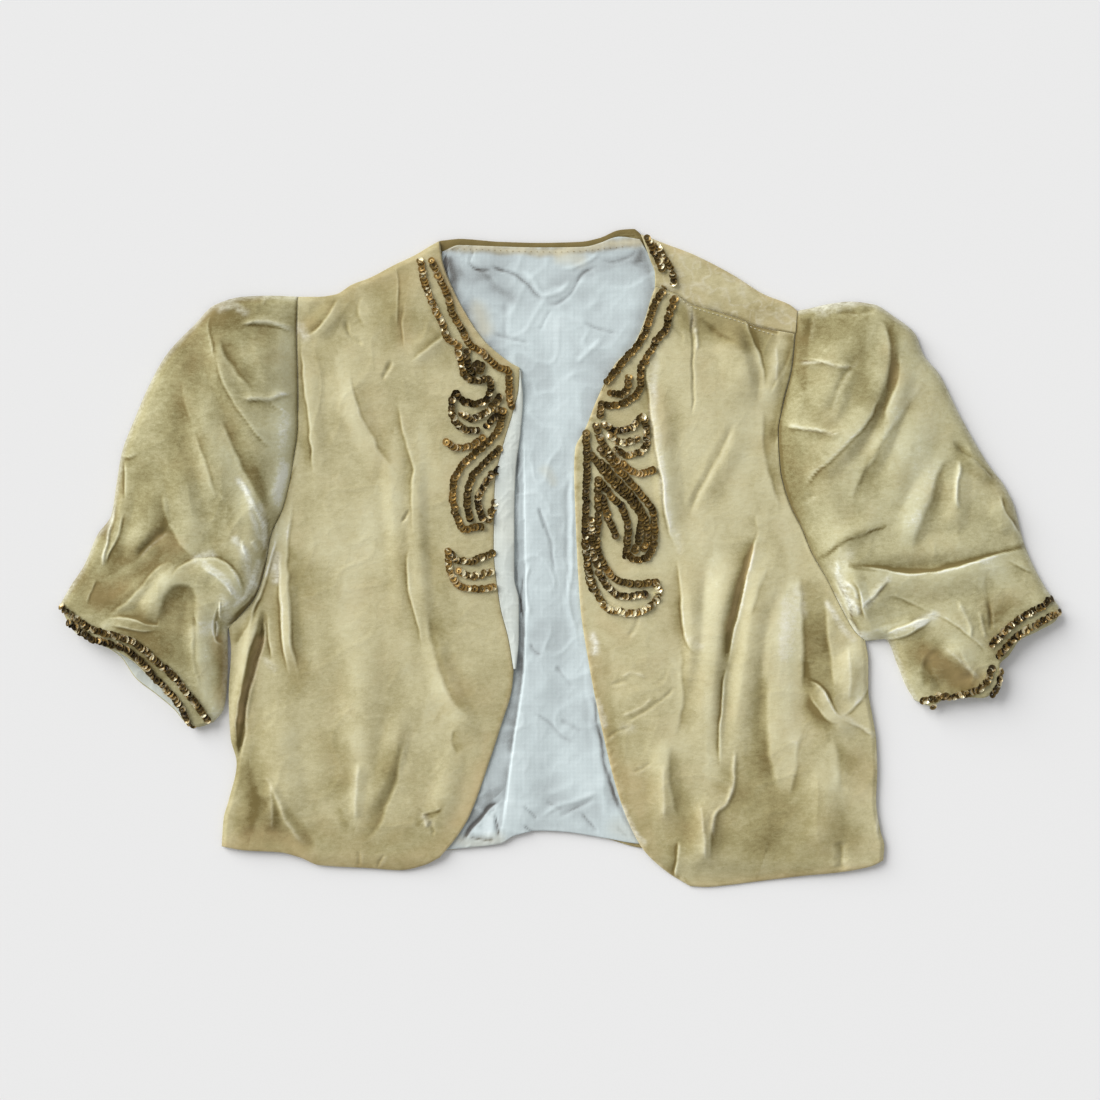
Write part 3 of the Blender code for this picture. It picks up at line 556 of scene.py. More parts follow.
frontEdgeRight = (
    (72.6, 206), (70.3, 199.9), (62.7, 175.6), (55.1, 160.4), (42.2, 147.4), (28.5, 120.8), (19.4, 98),
    (11.8, 82.8), (11, 69.2), (12.5, 19.8), (15.6, -35.7), (21.7, -77.5), (32.3, -130.7), (46, -183.9),
    (61.9, -218.9), (80.9, -237.9), (99.2, -249.3),
)
hemFrontLeft = (
    (-256.5, -218.9), (-239, -221.9), (-212.4, -223.4), (-197.2, -227.2), (-182, -233.3), (-144, -235.6),
    (-121.2, -237.1), (-103, -233.3), (-90.8, -227.2),
)
hemFrontRight = (
    (99.2, -249.3), (110.6, -250), (128.8, -248.5), (152.4, -245.5), (182.8, -241.7), (213.2, -238.6),
    (236, -234.1), (245.9, -229.5),
)
hemBack = (
    (-256.5, -218.9), (-197.2, -221), (-90.8, -222.5), (-58.9, -218), (-45.2, -217), (-33.1, -210.5),
    (-14.8, -207), (0.4, -207.5), (30.8, -212), (62.7, -220.4), (106.8, -223.4), (182.8, -226.5),
    (245.9, -229.5),
)
sleeveLeftOuter = (
    (-198.7, 198.4), (-220, 199.1), (-239, 198.4), (-261.1, 192.3), (-277, 177.1), (-298.3, 154.3),
    (-311.2, 131.5), (-321.1, 108.7), (-332.5, 78.3), (-336.3, 55.5), (-340.1, 32.7), (-350.7, 17.5),
    (-360.6, -5.3), (-370.5, -20.5), (-378.9, -35),
)
sleeveLeftInner = (
    (-252, -53.2), (-251.8, -62), (-251.6, -77.5), (-252.5, -100.3), (-255, -114.8), (-262.6, -124.6),
)
cuffLeft = (
    (-378.9, -35), (-368.2, -54.7), (-350, -64.6), (-334, -71.4), (-321.9, -79), (-309.7, -91.2),
    (-294.5, -105.6), (-286.1, -117), (-274.7, -127.5), (-262.6, -124.6),
)
cuffLeftUnder = (
    (-378.9, -35), (-368.2, -54.7), (-350, -64.6), (-334, -74.5), (-321.9, -91.5), (-306.7, -103.4),
    (-293, -114.8), (-281.5, -127), (-274.7, -128.5), (-262.6, -124.6),
)
sleeveRightOuter = (
    (180.5, 187.7), (188.9, 189.2), (205.6, 193), (220.8, 194.6), (239, 192.3), (251.9, 184.7),
    (270.2, 169.5), (276.3, 154.3), (288.4, 139.1), (303.6, 108.7), (325.7, 70.7), (337.1, 55.5),
    (344.7, 40.3), (353, 9.9), (367.5, -20.5), (378.9, -36.5),
)
sleeveRightInner = (
    (232.2, -63.1), (246.6, -61.6), (256.5, -81.3), (262.6, -96.5), (269.4, -107.9),
)
cuffRight = (
    (378.9, -36.5), (377.2, -45.6), (362.1, -55.5), (348.5, -62.3), (340.1, -73.7), (333, -81.5),
    (333, -90.5), (329, -100.8), (320, -106), (308, -105.5), (295.3, -105.8), (281, -112), (269.4, -107.9),
)
liningLeft = (
    (-89, 231), (-97, 190), (-84, 150), (-72, 60), (-72, -60), (-78, -150), (-97, -219.5),
)
liningRight = (
    (61, 238), (82, 205), (76, 150), (46, 80), (42, -20), (56, -130), (84, -214.5),
)
liningTop = (
    (-89, 231), (-75.6, 236), (-45.2, 235), (-14.8, 234.2), (15.6, 234.6), (30.8, 236.5), (46, 240),
    (61, 238),
)
liningHem = (
    (-97, -219.5), (-70, -216.5), (-46, -213.8), (-33.1, -207), (-14.8, -203.6), (0.4, -204.2),
    (30.8, -208.6), (60, -213.5), (84, -214.5),
)
tuckEdge = (
    (-28, 110), (-27, 40), (-26, -40), (-27, -80), (-35, -140), (-45, -214),
)
# Height of each sleeve's upper layer, as (share of its length, height)
crownLeft = (
    (0, 5.2), (0.05, 12), (0.16, 19), (0.4, 17), (0.65, 14), (0.85, 12), (1, 11),
)
crownRight = (
    (0, 5.2), (0.05, 12), (0.16, 19), (0.4, 16), (0.65, 13.5), (0.85, 11), (1, 10),
)
# Broad folds, each with its height, its reach to the left and right, and its start, middle and end
frontLeftRolls = (
    (7, 7, 7, (-229, -30), (-238, -85), (-247, -140)), (4.5, 7, 7, (-208, 2), (-206, -43), (-201, -91)),
    (3, 8, 8, (-189, 158), (-187, 109), (-184, 55)), (4, 7, 11, (-108, 97), (-107, 10), (-100, -70)),
    (3, 8, 11, (-98, -40), (-83, -100), (-56, -142)), (3, 14, 8, (-133, 120), (-123, 21), (-118, -62)),
    (4, 16, 16, (-155, -32), (-149, -131), (-155, -211)),
    (4, 8, 14, (-121, -108), (-130, -161), (-159, -204)),
    (4, 14, 14, (-205, -100), (-212, -157), (-193, -216)), (4, 10, 9, (-164, 193), (-177, 181), (-188, 167)),
    (2.5, 10, 10, (-163, 147), (-150, 101), (-123, 62)), (2.5, 9, 9, (-90, 170), (-102, 160), (-117, 150)),
    (3, 10, 10, (-83, -137), (-86, -176), (-100, -213)),
)
frontRightRolls = (
    (6, 7, 15, (124, 180), (139, 150), (145, 112)), (3, 8, 8, (163, 158), (161, 136), (154, 112)),
    (5, 11, 7, (73, 137), (78, 67), (86, 5)), (4.5, 11, 7, (94, 2), (101, -55), (95, -117)),
    (8, 9, 15, (138, 9), (119, -62), (114, -163)), (6, 14, 8, (157, 5), (142, -70), (132, -166)),
    (4, 15, 15, (177, -21), (165, -85), (181, -180)), (4, 12, 12, (216, -69), (220, -88), (216, -110)),
    (4, 8, 8, (192, -94), (207, -120), (228, -131)), (5, 11, 11, (116, -176), (109, -207), (107, -239)),
    (4, 10, 10, (75, -131), (79, -173), (81, -211)), (2.5, 11, 11, (143, 102), (119, 68), (99, 29)),
    (3, 14, 14, (192, -154), (200, -192), (194, -228)),
)
sleeveLeftRolls = (
    (6, 8, 8, (-260, 182), (-250, 126), (-212, 78)), (9, 14, 14, (-273, 131), (-264, 82), (-243, 35)),
    (7, 11, 11, (-288, 81), (-282, 38), (-269, 5)), (6, 13, 12, (-311, 62), (-310, 29), (-334, -3)),
    (4, 9, 7, (-329, 61), (-334, 25), (-342, -8)), (6, 9, 8, (-236, 56), (-229, 25), (-236, -11)),
    (7, 10, 10, (-307, -55), (-304, -29), (-279, -9)), (6, 10, 9, (-281, -9), (-258, -12), (-249, -33)),
    (6, 9, 9, (-270, -23), (-272, -62), (-266, -108)), (5, 9, 8, (-342, -40), (-320, -26), (-299, -7)),
    (3, 8, 8, (-341, -47), (-323, -49), (-306, -53)), (4, 14, 12, (-226, 173), (-220, 143), (-213, 105)),
)
sleeveRightRolls = (
    (9, 8, 14, (247, 176), (234, 111), (188, 57)), (7, 9, 9, (262, 156), (250, 106), (230, 58)),
    (5, 15, 14, (281, 120), (263, 82), (244, 27)), (6, 9, 12, (286, 68), (271, 35), (263, -2)),
    (5, 9, 9, (302, 74), (299, 44), (297, 15)), (4, 8, 9, (301, 82), (316, 70), (328, 56)),
    (4, 8, 8, (331, 46), (335, 30), (341, 17)), (6, 9, 13, (223, -13), (282, -16), (342, 0)),
    (4, 11, 9, (231, 6), (272, 4), (328, 15)), (4, 9, 9, (208, 8), (221, 19), (244, 29)),
    (4, 8, 8, (240, -56), (259, -54), (282, -45)), (3, 8, 8, (284, -43), (306, -55), (322, -71)),
    (5, 9, 9, (217, -3), (223, -28), (232, -50)), (3, 8, 8, (232, -33), (242, -26), (250, -15)),
    (4, 10, 10, (293, -62), (304, -78), (310, -92)), (4, 14, 14, (199, 171), (204, 135), (197, 97)),
)
# Creases, each with its height, its reach to the left and right, how much painted highlight a raised one
# carries, and its points
sleeveLeftCreases = (
    (1.4, 6, 2, 0.3, (-241, 176), (-231, 178), (-216, 177), (-200, 171)),
    (1.4, 6, 2, 0.3, (-241, 122), (-235, 120), (-220, 120), (-210, 123), (-200, 125)),
    (1, 2, 2, 0.2, (-225, 192), (-223, 197), (-220, 198)),
    (1.2, 2, 2, 0.7, (-241, 59), (-234, 49), (-229, 40), (-226, 31), (-223, 21), (-222, 14)),
    (0.8, 2, 2, 0.6, (-239, 14), (-237, 8), (-235, 2)), (0.8, 2, 2, 0.6, (-231, 14), (-228, 8), (-226, 4)),
    (-2, 5, 5, 0, (-294, 23), (-304, 16), (-313, 8), (-319, 0)),
    (1.5, 2, 2, 0.5, (-337, 40), (-340, 21), (-345, -2), (-346, -8)),
    (1, 1.5, 1.5, 0.7, (-269, -8), (-262, -11), (-254, -18), (-248, -24), (-245, -30)),
    (1, 1.5, 1.5, 0.7, (-260, -47), (-259, -53), (-259, -60)),
    (1, 1.5, 1.5, 0.6, (-256, -32), (-256, -40), (-256, -47)),
)
sleeveRightCreases = (
    (-1.6, 4, 4, 0, (208, 186), (221, 185), (240, 188)),
    (1.6, 3, 3, 0.5, (302, 74), (301, 59), (300, 44), (302, 36)),
    (-2.2, 3, 3, 0, (297, 90), (304, 81), (316, 73), (327, 63), (335, 58)),
    (-1, 2, 2, 0, (183, 43), (189, 46), (194, 49)), (1, 1.5, 1.5, 0.8, (209, 0), (210, -7), (210, -14)),
    (1, 1.5, 1.5, 0.8, (215, -17), (221, -24), (225, -32)),
    (1, 1.5, 1.5, 0.8, (221, -32), (224, -38), (225, -44)),
    (1, 1.5, 1.5, 0.8, (222, -53), (225, -58), (227, -63)),
    (1, 3, 3, 0.2, (301, -32), (308, -47), (312, -62)), (1, 3, 3, 0.2, (316, -40), (320, -51), (323, -62)),
    (-1.2, 3, 3, 0, (323, -32), (326, -43), (327, -55)), (0.8, 6, 6, 0.3, (289, -66), (304, -79), (318, -93)),
    (-1.5, 6, 6, 0, (274, -74), (285, -93), (293, -108)),
    (1.4, 2, 5, 0.35, (180, 148), (198, 148), (209, 144), (217, 144), (223, 147)),
    (1.4, 2, 5, 0.35, (171, 102), (179, 99), (194, 96), (206, 94), (213, 97)),
    (-1.2, 2, 2, 0, (192, 185), (190, 173), (187, 164)),
    (-1.2, 6, 6, 0, (225, 154), (213, 135), (206, 120), (202, 105)),
)
frontLeftCreases = (
    (-3.5, 3, 3, 0, (-224, -36), (-226, -62), (-231, -78), (-238, -108), (-241, -138), (-244, -157)),
    (1.5, 8, 8, 0.15, (-218, -169), (-218, -188), (-218, -207)),
    (-1.2, 3, 3, 0, (-163, 181), (-159, 169), (-148, 162)),
    (-1.2, 3, 3, 0, (-135, 135), (-130, 143), (-127, 150)),
    (-1.2, 2, 2, 0, (-121, 27), (-117, 32), (-114, 36)),
    (1.4, 6, 6, 0.25, (-152, -154), (-153, -176), (-154, -199)),
    (1.2, 5, 5, 0.15, (-226, -161), (-212, -184), (-205, -203), (-190, -218)),
    (0.8, 2, 2, 0.3, (-104, -193), (-101, -198), (-99, -204)),
    (-1, 2, 2, 0, (-98, -199), (-96, -205), (-95, -210)),
    (-0.7, 1.5, 2.5, 0, (-153, -222), (-152, -228), (-152, -234)),
    (-0.5, 2, 1.5, 0, (-133, -224), (-136, -230), (-138, -236)),
)
frontRightCreases = (
    (0.6, 7, 7, 0.3, (164, 162), (165, 149), (165, 131)),
    (-1.2, 1.6, 1.6, 0, (101, 192), (101, 166), (101, 135), (101, 105)),
    (0.8, 2, 2, 0.35, (104, 175), (104, 166), (104, 157)), (-1, 2, 2, 0, (84, 177), (89, 172), (95, 166)),
    (-1.2, 3, 3, 0, (107, 181), (120, 171), (133, 162)),
    (1.3, 2.5, 2.5, 0.4, (133, -142), (132, -165), (128, -184), (118, -195), (116, -214)),
    (1.2, 12, 12, 0.25, (219, -66), (221, -89), (219, -112)),
    (1.2, 5, 5, 0.2, (107, -184), (109, -207), (111, -230)),
    (1, 5, 5, 0.2, (80, -154), (79, -176), (80, -199)),
    (-1.8, 6, 6, 0, (213, -214), (214, -226), (215, -237)),
    (0.8, 3, 3, 0.5, (241, -138), (242, -176), (241, -214)),
    (-1.2, 5, 5, 0, (133, 105), (118, 74), (103, 44), (98, 29)),
    (0.5, 2, 2, 0.2, (46, -91), (55, -87), (66, -90)), (-0.7, 2, 2, 0, (37, -96), (49, -93), (61, -100)),
    (-0.8, 1.5, 1.5, 0, (48, -125), (61, -118), (76, -108), (89, -96)),
    (0.5, 1.5, 2.5, 0.2, (46, -120), (60, -114), (73, -105)),
    (-0.7, 1.6, 1.6, 0, (35, -137), (44, -131), (55, -128)),
    (-0.6, 1.6, 1.6, 0, (54, -163), (61, -160), (70, -155)), (-0.6, 3, 3, 0, (52, -62), (58, -49), (61, -35)),
)
liningCreases = (
    (-2, 1.6, 2.6, 0, (-53, 223), (-45, 220), (-36, 217), (-32, 215), (-24, 208), (-17, 201), (-11, 193)),
    (-1.2, 1.6, 2.6, 0, (-11, 193), (-4, 192), (5, 198), (13, 208), (18, 216), (31, 222)),
    (1, 3, 3, 0.3, (-30, 220), (-21, 212), (-10, 199), (0, 202), (10, 214)),
    (-1.4, 1.4, 1.4, 0, (-68, 237), (-66, 232), (-68, 225), (-65, 220), (-59, 218), (-50, 219)),
    (0.9, 1.4, 1.4, 0.5, (-86, 233), (-80, 237), (-73, 239), (-69, 237), (-66, 230)),
    (-2.2, 1.2, 1.2, 0, (-86, 231), (-86, 223), (-86, 216), (-85, 210)),
    (-0.7, 1.5, 3, 0, (29, 226), (40, 225), (51, 228), (61, 235)),
    (0.9, 2, 2, 0.3, (0, 220), (8, 220), (17, 223), (31, 233)),
    (-0.8, 3, 3, 0, (-41, 196), (-41, 181), (-41, 166)),
    (-1.2, 1.5, 1.5, 0, (-6, 188), (-11, 181), (-15, 173)), (-1.2, 2, 2, 0, (16, 179), (31, 173), (46, 171)),
    (-1, 2, 2, 0, (-51, 171), (-38, 167), (-22, 162)), (0.9, 3, 3, 0.2, (12, 147), (23, 158), (34, 167)),
    (-1.3, 2, 2, 0, (-17, 40), (-11, 25), (-6, 6), (-4, -13)),
    (-1.2, 1.2, 1.2, 0, (-16, 39), (-14, 30), (-11, 20)),
    (-1.4, 1.4, 1.4, 0, (-27, -13), (-29, -32), (-27, -47)),
    (1, 2, 2, 0.4, (-23, -2), (-25, -24), (-23, -47)),
    (0.9, 1.5, 6, 0.2, (10, 74), (10, 36), (10, -2), (8, -32), (16, -70)),
    (-0.9, 4, 4, 0, (6, 67), (6, 29), (6, -9), (5, -32)),
    (-1.3, 1.5, 2, 0, (-22, -64), (-19, -70), (-13, -75)), (-1.1, 2, 3, 0, (-3, -81), (4, -90), (12, -100)),
    (-1.2, 2, 3, 0, (-19, -117), (-7, -125), (0, -134), (12, -141)),
    (-0.9, 3, 3, 0, (0, -123), (10, -128), (19, -133)),
    (0.9, 2, 3, 0.35, (31, -176), (16, -183), (0, -187), (-15, -198)),
    (-1, 2, 3, 0, (29, -182), (12, -190), (-3, -198)),
    (-1.6, 1.6, 1.6, 0, (-28, -188), (-22, -193), (-16, -199)),
    (-1.6, 1.6, 1.6, 0, (-27, -203), (-22, -206), (-16, -209)),
    (-0.9, 2, 2, 0, (-11, -184), (-3, -188), (4, -193)), (-1.4, 2, 2, 0, (17, -193), (23, -201), (29, -208)),
    (-1.2, 1.5, 1.5, 0, (44, -204), (48, -208), (53, -213)),
    (0.9, 6, 6, 0.25, (20, -62), (25, -108), (31, -154), (35, -207)),
    (-2.4, 1.4, 3, 0, (-43, -182), (-52, -188), (-60, -198), (-68, -207), (-73, -217)),
    (-2.4, 1.6, 1.6, 0, (-50, -193), (-48, -202), (-45, -213)),
    (-2.2, 1.4, 1.4, 0, (-68, -211), (-59, -213), (-48, -215)),
    (-1.6, 1.2, 1.2, 0, (-86, -224), (-81, -223), (-76, -224)),
    (1, 1.2, 1.2, 0.6, (-73, -223), (-70, -220), (-66, -216)),
)
# Folds with one lit and one shaded side, each with its depth, its reach and the points of its line
sleeveLeftFolds = (
    (0.35, 7.6, (-258, 167), (-250, 150), (-241, 138), (-230, 124)),
    (-0.35, 3, (-261, 157), (-255, 137), (-247, 120), (-237, 105), (-225, 90), (-212, 78)),
    (0.3, 3, (-263, 187), (-265, 176), (-263, 164), (-259, 149)),
    (-0.2, 6.8, (-283, 138), (-284, 126), (-281, 111), (-276, 96)),
    (0.32, 7.6, (-276, 97), (-269, 80), (-263, 62), (-257, 40)),
    (0.42, 9.1, (-256, 109), (-248, 90), (-241, 73), (-234, 59), (-226, 45), (-219, 30)),
    (0.6, 4.6, (-220, 33), (-218, 18), (-221, 2), (-225, -13), (-230, -26), (-239, -37), (-250, -46)),
    (-0.42, 11, (-300, 53), (-299, 42), (-295, 28), (-289, 16), (-281, 5), (-273, -2)),
    (-0.32, 3.8, (-330, 74), (-329, 59), (-329, 43)),
    (0.45, 3.8, (-329, 36), (-333, 17), (-339, 4), (-344, -6)),
    (-0.25, 3, (-335, 78), (-328, 76), (-319, 78)),
    (0.35, 6.8, (-345, -46), (-336, -40), (-324, -32), (-317, -23), (-310, -14), (-300, -6), (-288, -2)),
    (0.4, 4.6, (-294, -15), (-285, -6), (-275, -1), (-264, 1), (-253, -2), (-244, -11), (-239, -24),
     (-241, -33)),
    (-0.35, 11, (-306, -52), (-301, -38), (-296, -26), (-288, -20), (-279, -21), (-274, -33), (-274, -62)),
    (0.45, 3, (-343, -45), (-332, -44), (-320, -46), (-311, -50), (-304, -51), (-301, -43)),
    (-0.3, 3.8, (-342, -51), (-326, -54), (-311, -56), (-302, -54)),
    (0.25, 7.6, (-273, -32), (-276, -51), (-276, -70), (-271, -100)),
    (0.5, 5.3, (-256, -36), (-261, -49), (-260, -61), (-253, -66)),
    (-0.3, 2.3, (-242, 176), (-231, 177), (-216, 176), (-202, 172)),
    (-0.3, 2.3, (-241, 121), (-226, 119), (-212, 122), (-201, 124)),
    (-0.25, 3, (-220, 120), (-214, 113), (-208, 109)), (0.25, 4.6, (-349, -15), (-354, -27), (-357, -36)),
)
sleeveRightFolds = (
    (0.46, 9.1, (242, 182), (248, 170), (250, 157), (248, 143), (245, 129), (241, 119)),
    (0.5, 3.8, (244, 125), (234, 106), (225, 94), (215, 84), (204, 73), (192, 63), (183, 49)),
    (0.32, 9.1, (279, 137), (269, 123), (260, 111), (253, 100), (244, 88), (236, 74), (227, 59), (221, 44),
     (219, 33)),
    (-0.3, 5.3, (256, 162), (256, 143), (251, 124), (245, 109), (242, 94)),
    (-0.3, 2.3, (179, 150), (190, 149), (202, 147), (212, 144), (218, 144), (225, 147)),
    (-0.35, 3, (169, 101), (179, 98), (194, 96), (204, 95), (213, 97)),
    (0.42, 12, (303, 78), (291, 72), (286, 63), (283, 52), (279, 40), (274, 29), (268, 17), (266, 0)),
    (0.5, 3, (334, 49), (336, 38), (341, 30), (346, 23), (351, 14)),
    (0.6, 3.8, (215, -2), (221, -6), (232, -7), (247, -9), (263, -11), (282, -10), (301, -6), (320, 0),
     (339, 5), (355, 9)),
    (-0.3, 4.6, (198, 0), (207, 8), (216, 14), (227, 17), (236, 21), (247, 24)),
    (-0.25, 2.3, (337, -2), (348, -7), (360, -12)),
    (-0.4, 5.3, (227, -64), (242, -63), (255, -61), (268, -56), (283, -44)),
    (0.35, 5.3, (244, -58), (257, -52), (270, -47), (282, -43)),
    (-0.25, 2.3, (280, -40), (293, -47), (304, -55), (316, -64), (324, -74)),
    (-0.22, 2.3, (245, -27), (257, -30), (268, -35), (282, -41)),
    (0.35, 3.8, (250, -14), (241, -24), (233, -33), (227, -41)),
    (0.5, 3, (207, -11), (212, -23), (218, -35), (222, -49), (228, -59)),
    (-0.4, 3, (218, -15), (225, -24), (228, -36), (230, -49)),
    (0.25, 9.1, (323, -6), (321, -24), (323, -41), (327, -53)),
    (0.3, 11, (289, -67), (278, -74), (274, -87), (276, -100)),
    (-0.3, 7.6, (301, -68), (306, -79), (314, -93)),
)
frontLeftFolds = (
    (0.4, 3.8, (-213, 17), (-218, -3), (-225, -24), (-232, -41), (-236, -58)),
    (-0.45, 4.6, (-197, 166), (-195, 149), (-193, 126), (-190, 101), (-188, 78), (-187, 61)),
    (-0.42, 8.4, (-166, 199), (-174, 186), (-181, 176), (-193, 168)),
    (-0.2, 6.8, (-149, 200), (-152, 187), (-146, 175)),
    (0.28, 6.1, (-159, 143), (-155, 122), (-149, 106), (-141, 91), (-133, 76), (-126, 67), (-118, 60)),
    (-0.32, 5.3, (-122, 122), (-120, 101), (-116, 86), (-111, 68), (-112, 48), (-112, 14)),
    (-0.4, 4.6, (-113, 10), (-116, -5), (-115, -24), (-111, -38), (-108, -50), (-103, -68)),
    (0.38, 11, (-100, -35), (-98, -55), (-95, -71), (-90, -87), (-84, -103), (-76, -114), (-63, -125)),
    (-0.35, 6.8, (-86, 171), (-95, 163), (-105, 154), (-115, 148)),
    (0.42, 6.1, (-202, 48), (-204, 29), (-206, -2), (-204, -32), (-203, -62), (-199, -81), (-197, -93)),
    (-0.5, 3.8, (-212, 10), (-212, -24), (-211, -49), (-209, -71), (-205, -90)),
    (0.45, 6.1, (-225, -32), (-231, -59), (-237, -81), (-241, -104), (-244, -127), (-244, -151)),
    (-0.35, 3.8, (-222, -41), (-220, -62), (-217, -79)),
    (0.35, 4.6, (-200, 74), (-206, 58), (-213, 36), (-215, 17)),
    (-0.25, 9.1, (-226, -157), (-218, -173), (-211, -193), (-203, -208), (-193, -220)),
    (-0.32, 11, (-115, -123), (-117, -138), (-121, -154), (-124, -170), (-130, -185), (-136, -202),
     (-144, -211), (-159, -214)),
    (0.2, 2.3, (-123, 225), (-122, 204), (-122, 173)), (-0.2, 3.8, (-117, 195), (-119, 177), (-117, 158)),
    (0.2, 5.3, (-79, -127), (-81, -138), (-77, -150)), (-0.3, 3, (-105, -195), (-97, -193), (-89, -189)),
)
frontRightFolds = (
    (0.4, 6.1, (130, 217), (136, 196), (141, 183), (146, 169), (151, 155), (155, 141), (155, 123)),
    (-0.3, 7.6, (177, 162), (169, 141), (158, 122)),
    (-0.42, 3.8, (69, 162), (66, 139), (70, 106), (73, 82), (77, 59), (79, 40), (83, 21), (90, 2)),
    (-0.45, 5.3, (89, 2), (91, -17), (92, -32), (93, -51), (97, -65), (108, -75)),
    (0.25, 7.6, (92, -62), (92, -81), (94, -108), (91, -125), (86, -142)),
    (-0.8, 6.1, (150, 21), (145, 0), (141, -17), (137, -33), (133, -51), (130, -67), (127, -85)),
    (-0.6, 3, (127, -78), (124, -97), (123, -112), (121, -131), (121, -161)),
    (0.3, 6.8, (130, -164), (129, -179), (121, -190), (116, -203), (114, -231)),
    (0.28, 9.1, (87, -138), (83, -151), (83, -167), (86, -181), (91, -201)),
    (-0.6, 3, (90, -214), (89, -228), (87, -243)), (0.45, 11, (183, -9), (184, -40), (185, -70), (184, -104)),
    (0.28, 8.4, (184, -125), (181, -144), (179, -163), (174, -182)),
    (-0.28, 11, (160, -85), (157, -112), (158, -142), (168, -180)),
    (-0.35, 9.1, (201, -30), (204, -62), (206, -84), (209, -103)),
    (0.6, 3, (187, -93), (195, -95), (200, -100), (205, -108), (209, -116), (215, -121)),
    (-0.35, 6.1, (187, -100), (194, -112), (202, -122), (213, -126)),
    (-0.3, 4.6, (213, -121), (223, -113), (230, -105), (235, -96)),
    (-0.22, 3, (213, -122), (227, -128), (239, -135)),
    (0.3, 9.1, (154, 120), (155, 90), (160, 61), (169, 35)), (-0.2, 7.6, (149, 35), (150, 23), (149, 10)),
    (0.2, 6.1, (160, -2), (151, -24), (143, -47)), (0.25, 11, (207, -135), (212, -157), (212, -180)),
)
# Marks by kind, each with its amount, its reach and the points of its line: painted light and shade, broad
# patches of painted light and shade, crushed pile with painted sheen, and stains
sleeveLeftMarks = {
    "nap": (
        (-0.5, 2.66, (-219, 29), (-219, 6), (-224, -13), (-234, -32), (-246, -46)),
        (-0.3, 3.8, (-229, 67), (-222, 48), (-215, 33)), (-0.4, 1.9, (-249, -49), (-238, -40), (-229, -32)),
        (-0.32, 6.08, (-338, -11), (-323, -2), (-307, 10), (-298, 20)),
        (-0.16, 13.7, (-239, 169), (-216, 158), (-212, 135)),
        (-0.16, 12.2, (-328, 82), (-311, 67), (-311, 44)),
        (-0.2, 9.88, (-285, -36), (-288, -59), (-275, -81)),
        (-0.3, 6.08, (-260, -62), (-254, -81), (-256, -108)),
        (-0.18, 7.6, (-340, -32), (-323, -15), (-304, -2)), (-0.18, 6.08, (-247, 29), (-250, 44), (-256, 25)),
        (-0.15, 6.84, (-368, -24), (-353, -9), (-342, 14)), (0.28, 9.12, (-276, 9), (-262, 6), (-247, 10)),
        (0.16, 7.6, (-284, 44), (-281, 29), (-269, 17)),
        (0.26, 6.08, (-345, -51), (-330, -36), (-311, -23), (-292, -8)),
        (0.14, 8.36, (-269, 128), (-262, 97), (-249, 71), (-243, 44)),
        (0.25, 3.8, (-258, -100), (-263, -117)),
        (0.5, 8.36, (-274, -53), (-272, -78), (-268, -100), (-263, -117)),
        (-0.12, 10.6, (-345, 21), (-334, 2)), (0.15, 13.7, (-220, 97), (-218, 59)),
    ),
    "broad": (
        (-0.2, 10.6, (-260, 187), (-253, 182)), (0.3, 6.84, (-208, 67), (-212, 40), (-215, 21)),
        (-0.22, 7.6, (-314, -12), (-310, -21)), (-0.2, 6.84, (-256, -66), (-253, -100)),
        (-0.22, 19.8, (-285, 162), (-269, 177), (-243, 187)), (-0.1, 18.2, (-266, 139), (-254, 124)),
        (0.36, 9.88, (-205, 166), (-206, 120), (-206, 82), (-211, 44)),
        (0.12, 12.2, (-234, 162), (-226, 147)),
        (-0.15, 15.2, (-290, 158), (-287, 120), (-284, 67), (-285, 40)),
        (-0.25, 6.08, (-340, 33), (-343, 21)), (0.14, 10.6, (-263, -36), (-261, -70)),
        (-0.14, 15.2, (-334, -28), (-319, -41), (-310, -66)),
        (-0.2, 18.2, (-353, -24), (-336, -38), (-313, -62), (-304, -81)),
        (-0.16, 12.2, (-342, 29), (-336, 6)), (-0.18, 10.6, (-263, 10), (-255, 2)),
    ),
    "crush": (
        (1.1, 1.9, (-225, 40), (-222, 25), (-223, 10)),
        (1, 1.9, (-226, -2), (-231, -17), (-238, -30), (-246, -36)),
        (1.1, 2.28, (-241, 59), (-234, 46), (-231, 33), (-226, 17)),
        (1, 3.04, (-244, 14), (-235, -2), (-232, -20)), (1.1, 2.28, (-267, -5), (-253, -14), (-243, -30)),
        (0.7, 3.8, (-254, -32), (-252, -44)), (0.6, 3.8, (-273, 0), (-263, 2)),
        (0.45, 3.04, (-256, 188), (-247, 191), (-238, 186)),
    ),
    "stain": (
        (0.55, 6.08, (-258, -62), (-253, -84), (-256, -108)), (0.25, 9.12, (-349, -32), (-332, -23)),
        (0.3, 6.08, (-304, 14), (-288, 10)),
    ),
}
